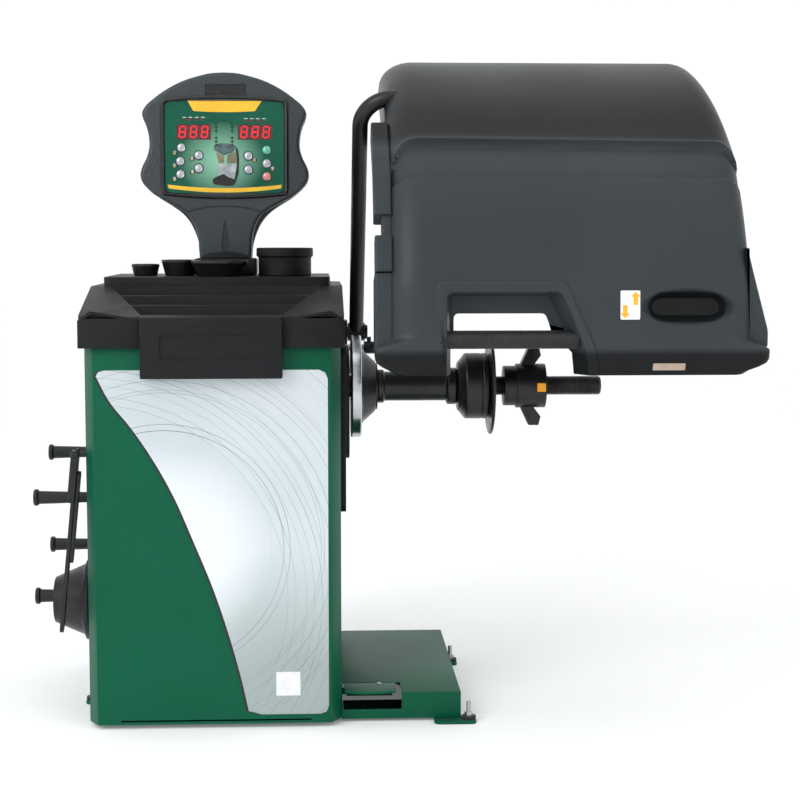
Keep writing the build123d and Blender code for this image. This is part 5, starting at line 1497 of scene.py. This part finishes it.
            self.art(f"panel_seat_{node}", disc(spot, 9.3, 32), 1, Finishes.DARK_MARK)
        lamps = (("left", (-73.7, -62.4, -51.0, -39.5), 50.6), ("right", (39.8, 51.0, 62.0, 73.4), 48.6))
        for word, places, z in lamps:
            for index, x in enumerate(places):
                self.art(f"panel_lamp_{word}_{index}", rounded_rectangle((x, z), 4.6, 3.4, 0.8, 3), 1, Finishes.LAMP)
                dash = rounded_rectangle((x, z + 4.2), 7.0, 1.1, 0.4, 2)
                self.art(f"panel_dash_{word}_{index}", dash, 1, Finishes.LABEL)
        self.art("panel_dot", disc((0.0, 49.5), 2.0, 20), 1, Finishes.INK_AND_SHADE)

    def figures(self) -> None:
        """The two three-figure displays, glowing behind their lens."""
        for word, sign in (("left", -1), ("right", 1)):
            centres = [(sign * self.window_x + place, self.window_z) for place in (-20.5, 0.0, 20.5)]
            outlines = [outline * MM + self.middle for centre in centres for outline in self.digit(centre, 21.0)]
            bars = [plate("bar", outline, 0.1374, 0.1380) for outline in outlines]
            settle(union_of(f"figures_{word}", bars), Finishes.FIGURE, "root", "red_lens")

    def key(self, node: str) -> None:
        """A domed key that stands for its CAD node, ringed by a shallow groove."""
        (x, face, z), (_, back, _) = box_of(node)
        x, _, z = box_of(node).mean(axis=0)
        radius = 0.0078
        profile = [(back, 0.0), (back, radius), (face + 0.0016, radius), (face + 0.0006, radius * 0.86)]
        profile += [(face + 0.0010, radius * 0.74), (face + 0.0001, radius * 0.45), (face, 0.0)]
        made = turned(node + "_cap", profile, (x, z), Axis.Y, soften=0.0004, detail=Detail.SMALL)
        tint = {"key_right_top": Finishes.KEY_GREEN, "key_right_bottom": Finishes.KEY_RED}.get(node, Finishes.KEY)
        settle(made, tint, node, "key_silver", node)

    def build(self) -> None:
        """Build and dress the head."""
        on = ("root", "tray_plastic")
        body = self.body()
        recesses = self.recesses()
        for name, outline, depth in recesses:
            drill(body, plate(f"{name}_cutter", outline, 0.128, self.front_y + depth))
        self.slim_front(body)
        settle(body, Finishes.HEAD, *on, "head_front_shell", "head_rear_shell")
        # painted shade: a black sheet at the back of each recess stands for the shade inside it
        for name, outline, depth in recesses:
            middle, back = (outline.max(axis=0) + outline.min(axis=0)) / 2, self.front_y + depth
            shade_sheet = plate(f"head_{name}_floor", middle + (outline - middle) * 0.985, back - 0.0007, back + 0.001)
            self.slim_front(shade_sheet)
            settle(shade_sheet, Finishes.INK_AND_SHADE, *on)
        settle(self.bezel(), Finishes.INK_AND_SHADE, *on)
        collar = rounded_rectangle((self.centre_x, 0.7965), 0.116, 0.031, 0.004, 4)
        settle(slab("head_collar", collar, 0.126, 0.216, edge=0.003), Finishes.TRAY, *on)
        turn = np.linspace(0, np.pi, 33)
        mound = np.stack([0.046 * np.cos(turn), 0.0135 * np.sin(turn)], axis=1) + np.array((self.centre_x, 0.8115))
        settle(slab("head_mound", mound, 0.1325, 0.1400, edge=0.002), Finishes.TRAY, *on)
        self.print_panel()
        self.figures()
        for node in self.keys:
            self.key(node)


# ---------------------------------------------------------------- spindle


def turned_mm(
    name: str,
    section: Sequence[Point2],
    centre: Point2,
    axis: Axis,
    soften: float = 0.0008,
    detail: Detail = Detail.FINE,
) -> Piece:
    """A turned piece whose section is in millimetres. Args and result are as in turned."""
    return turned(name, [(along * MM, radius * MM) for along, radius in section], centre, axis, soften, detail)


@dataclass
class SpindleSet:
    """Everything on the spindle outside the cabinet, its cover and the distance gauge."""

    axis: Point2 = (0.080, 0.576)
    shaft: float = 0.018
    thread_depth: float = 0.0016
    thread_pitch: float = 0.0042
    thread_from: float = 0.150
    thread_to: float = 0.4095

    PARTS: ClassVar[tuple[tuple[str, str, Finish, str, str, tuple[Point2, ...]], ...]] = (
        ("flange_disc", "wheel_flange", Finishes.BRIGHT, "spindle", "bright_steel", (
            (-54, 20.2), (-54, 93), (-52, 95), (-37, 95), (-35, 93), (-35, 70.3), (-36, 70.2), (-36, 20.2), (-54, 20.2),
        )),
        ("hub_body", "hub_cone", Finishes.BLACK, "spindle", "black_steel", (
            (-36, 18.2), (-36, 70), (-33, 70), (-31, 66), (-9, 46), (-8, 43), (-5, 43), (-5, 18.2), (-36, 18.2),
        )),
        ("sleeve_body", "adapter_sleeve", Finishes.BLACK, "spindle", "black_steel", (
            (-5, 18.2), (-5, 29), (-3, 31), (6, 31), (9, 27), (122, 27), (124, 32), (126, 34), (139, 34), (141, 33),
            (143, 31), (143, 18.2), (-5, 18.2),
        )),
        ("cup_body", "pressure_cup", Finishes.BLACK, "cup", "black_steel", (
            (143.3, 18.3), (143.3, 42), (145, 46), (148, 48), (149, 50), (157, 60), (159, 61), (186, 61), (187, 60.2),
            (189, 60.2), (190, 61), (198, 61), (200.5, 58), (200.5, 30), (202.3, 30), (202.3, 18.3), (143.3, 18.3),
        )),
        ("cup_disc", "cup_plate", Finishes.BLACK, "cup", "black_steel", (
            (202.3, 18.3), (202.3, 88), (204, 90), (206.6, 90), (208.3, 88), (208.3, 60), (206.8, 57), (206.8, 40),
            (208.3, 37), (208.3, 18.3), (202.3, 18.3),
        )),
        ("shaft_core", "spindle_shaft", Finishes.THREAD, "spindle", "bright_steel", (
            (-414, 0), (-414, 18.5), (-412, 20), (-36, 20), (-36, 18), (149, 18), (150.5, 15.8), (409, 15.8),
            (410, 16.2), (412, 15.0), (412, 0),
        )),
    )
    SOFTENED: ClassVar[tuple[tuple[str, float, Finish, str, str], ...]] = (
        ("quick_nut", 0.0022, Finishes.BLACK, "nut", "black_steel"),
        ("release_button", 0.0014, Finishes.ORANGE, "nut_button", "orange_plastic"),
        ("spindle_cover", 0.0022, Finishes.TRAY, "root", "tray_plastic"),
        ("hood_bracket", 0.0014, Finishes.BLACK, "root", "black_steel"),
        ("gauge_head", 0.0012, Finishes.BLACK, "gauge_tip", "black_steel"),
    )

    def thread(self) -> Piece:
        """The threaded end.

        A point at angle a and place x lies at the shaft radius less the thread depth times a rounded triangle
        wave of (x / pitch - a / full turn).
        """
        turns, per_turn = Detail.MEDIUM.value, 7
        rows = int((self.thread_to - self.thread_from) / self.thread_pitch * per_turn) + 1
        along = np.linspace(self.thread_from, self.thread_to, rows)[:, None]
        angle = np.linspace(0, 2 * np.pi, turns, endpoint=False)[None, :]
        wave = (along / self.thread_pitch - angle / (2 * np.pi)) % 1.0
        radius = self.shaft - self.thread_depth * ease(np.abs(2 * wave - 1), 0.12, 0.88)
        ends = np.minimum(ease(along, self.thread_from, self.thread_from + 0.001), 1.0)
        radius = radius * ends + (self.shaft - self.thread_depth) * (1 - ends)
        y, z = self.axis[0] + radius * np.cos(angle), self.axis[1] + radius * np.sin(angle)
        return tube("spindle_thread", np.stack([along + 0 * angle, y, z], axis=-1), smooth_angle=80.0)

    def build(self) -> None:
        """Build and dress the set."""
        for name, node, finish, body, slot, section in self.PARTS:
            settle(turned_mm(name, section, self.axis, Axis.X), finish, body, slot, node)
        settle(self.thread(), Finishes.THREAD, "spindle", "bright_steel")
        for node, width, finish, body, slot in self.SOFTENED:
            settle(softened_copy(node, width), finish, body, slot)


# ---------------------------------------------------------------- storage


@dataclass
class Storage:
    """The loose cones and cup on the tray, the pegs with their hanging cone, and the caliper."""

    bore: float = 18.3
    shade_sheet: float = 780.0
    cones: tuple[tuple[str, float, float, float, float, float], ...] = (
        ("small_cone", -434.0, 130.0, 22.0, 26.0, 22.0),
        ("medium_cone", -370.0, 124.0, 27.0, 34.0, 30.0),
        ("large_cone", -294.0, 78.0, 40.0, 52.0, 29.0),
    )
    pegs: tuple[Point2, ...] = ((155.0, 447.0), (155.0, 271.0), (-35.0, 389.0), (-35.0, 211.0))

    PEG: ClassVar[tuple[Point2, ...]] = (
        (-516.0, 0.0), (-516.0, 20.0), (-517.0, 20.0), (-519.6, 19.0), (-520.0, 10.0), (-522.0, 9.2), (-612.0, 11.8),
        (-613.5, 12.2), (-614.5, 14.6), (-620.0, 15.0), (-622.0, 13.4), (-622.0, 9.0), (-620.5, 8.0), (-620.5, 0.0),
    )
    CUP: ClassVar[tuple[Point2, ...]] = (
        (0, 47.5), (2, 49), (34, 49), (36, 51), (37, 52.5), (50, 52.5), (52, 51), (52, 47), (50, 45.5), (5, 44.6),
        (4, 43),
    )

    def cone(self, node: str, x: float, y: float, foot: float, top: float, height: float) -> None:
        """A centring cone: a straight flank, a short rim and a bore with a relief at its top."""
        low, high = self.shade_sheet, self.shade_sheet + height
        section = (
            (low, self.bore), (low, foot - 1.0), (low + 1.2, foot), (high - 6.0, top - 1.0), (high - 5.0, top),
            (high - 1.0, top), (high, top - 1.0), (high, self.bore + 4.0), (high - 2.5, self.bore + 3.4),
            (high - 3.0, self.bore), (low, self.bore),
        )
        made = turned_mm(node + "_body", section, (x * MM, y * MM), Axis.Z, 0.0005)
        settle(made, Finishes.BLACK, node, "black_steel", node)

    def cup(self) -> None:
        """The big cup: a round body, a wide rim band and a hollow inside."""
        bore = self.bore
        section = [(self.shade_sheet + rise, radius) for rise, radius in ((0, bore), *self.CUP, (4, bore), (0, bore))]
        made = turned_mm("big_cup_body", section, (-0.175, 0.112), Axis.Z, 0.0006)
        settle(made, Finishes.TRAY, "big_cup", "tray_plastic", "big_cup")

    def hanging_cone(self) -> None:
        """The wide cone on the lower front peg, ribbed near its wide end."""
        box = box_of("peg_cone")
        left, right = box[:, 0] / MM
        section = (
            (left, self.bore), (left, 40.0), (left + 1.0, 41.0), (right - 12.0, 64.0), (right - 10.0, 70.0),
            (right - 9.0, 72.0), (right - 1.5, 72.0), (right, 70.5), (right, self.bore), (left, self.bore),
        )
        made = turned_mm("peg_cone_body", section, box.mean(axis=0)[1:], Axis.X)
        settle(made, Finishes.BLACK, "peg_cone", "black_steel", "peg_cone")

    def build(self) -> None:
        """Build and dress the stored pieces."""
        for row in self.cones:
            self.cone(*row)
        self.cup()
        pegs = [
            turned_mm(f"peg_{index}", self.PEG, (y * MM, z * MM), Axis.X, detail=Detail.MEDIUM)
            for index, (y, z) in enumerate(self.pegs)
        ]
        hook = ((-516.0, 0.0), (-516.0, 3.5), (-542.5, 3.5), (-544.0, 2.5), (-544.0, 0.0))
        pegs.append(turned_mm("hook", hook, (-0.128, 0.478), Axis.X, 0.0004, Detail.SMALL))
        settle(union_of("peg_set", pegs), Finishes.BLACK, "root", "black_steel", "storage_pegs")
        self.hanging_cone()
        for node, body in (("caliper_arm", "caliper"), ("caliper_pointer", "pointer")):
            settle(softened_copy(node, 0.0008), Finishes.BLACK, body, "black_steel")


class PlainParts:
    """Materials for the parts whose CAD shapes stay, most of them inside the cabinet or at its rear."""

    DRESSED: ClassVar[dict[Finish, tuple[str, ...]]] = {
        Finishes.GREEN: ("rear_panel",),
        Finishes.ZINC: (
            "anchor_bolts", "gauge_rod", "panel_screws", "spindle_bearings", "driven_pulley", "motor_pulley",
            "force_sensors", "brake_rod",
        ),
        Finishes.RUBBER: ("rubber_washers", "drive_belt"),
        Finishes.PANEL: ("display_panel",),
        Finishes.LENS: ("digit_windows",),
        Finishes.BOARD: ("display_board", "power_board"),
        Finishes.BLACK: ("hood_arm", "brake_lever"),
        Finishes.SWITCH: ("power_inlet", "power_switch"),
        Finishes.FRAME: ("spindle_housing", "support_frame", "encoder_disc"),
        Finishes.IRON: ("drive_motor",),
    }

    def build(self) -> None:
        """Dress every node in the table."""
        for finish, nodes in self.DRESSED.items():
            for node in nodes:
                dress_node(node, finish)


def main() -> None:
    """Build the machine in order: studio, then each sub-assembly."""
    logging.basicConfig(level=logging.INFO, format="%(name)s %(message)s")
    Studio().build()
    for assembly in (Cabinet(), Platform(), WeightTray(), DisplayHead(), Hood(), SpindleSet(), Storage(), PlainParts()):
        assembly.build()


if __name__ == "__main__":
    main()
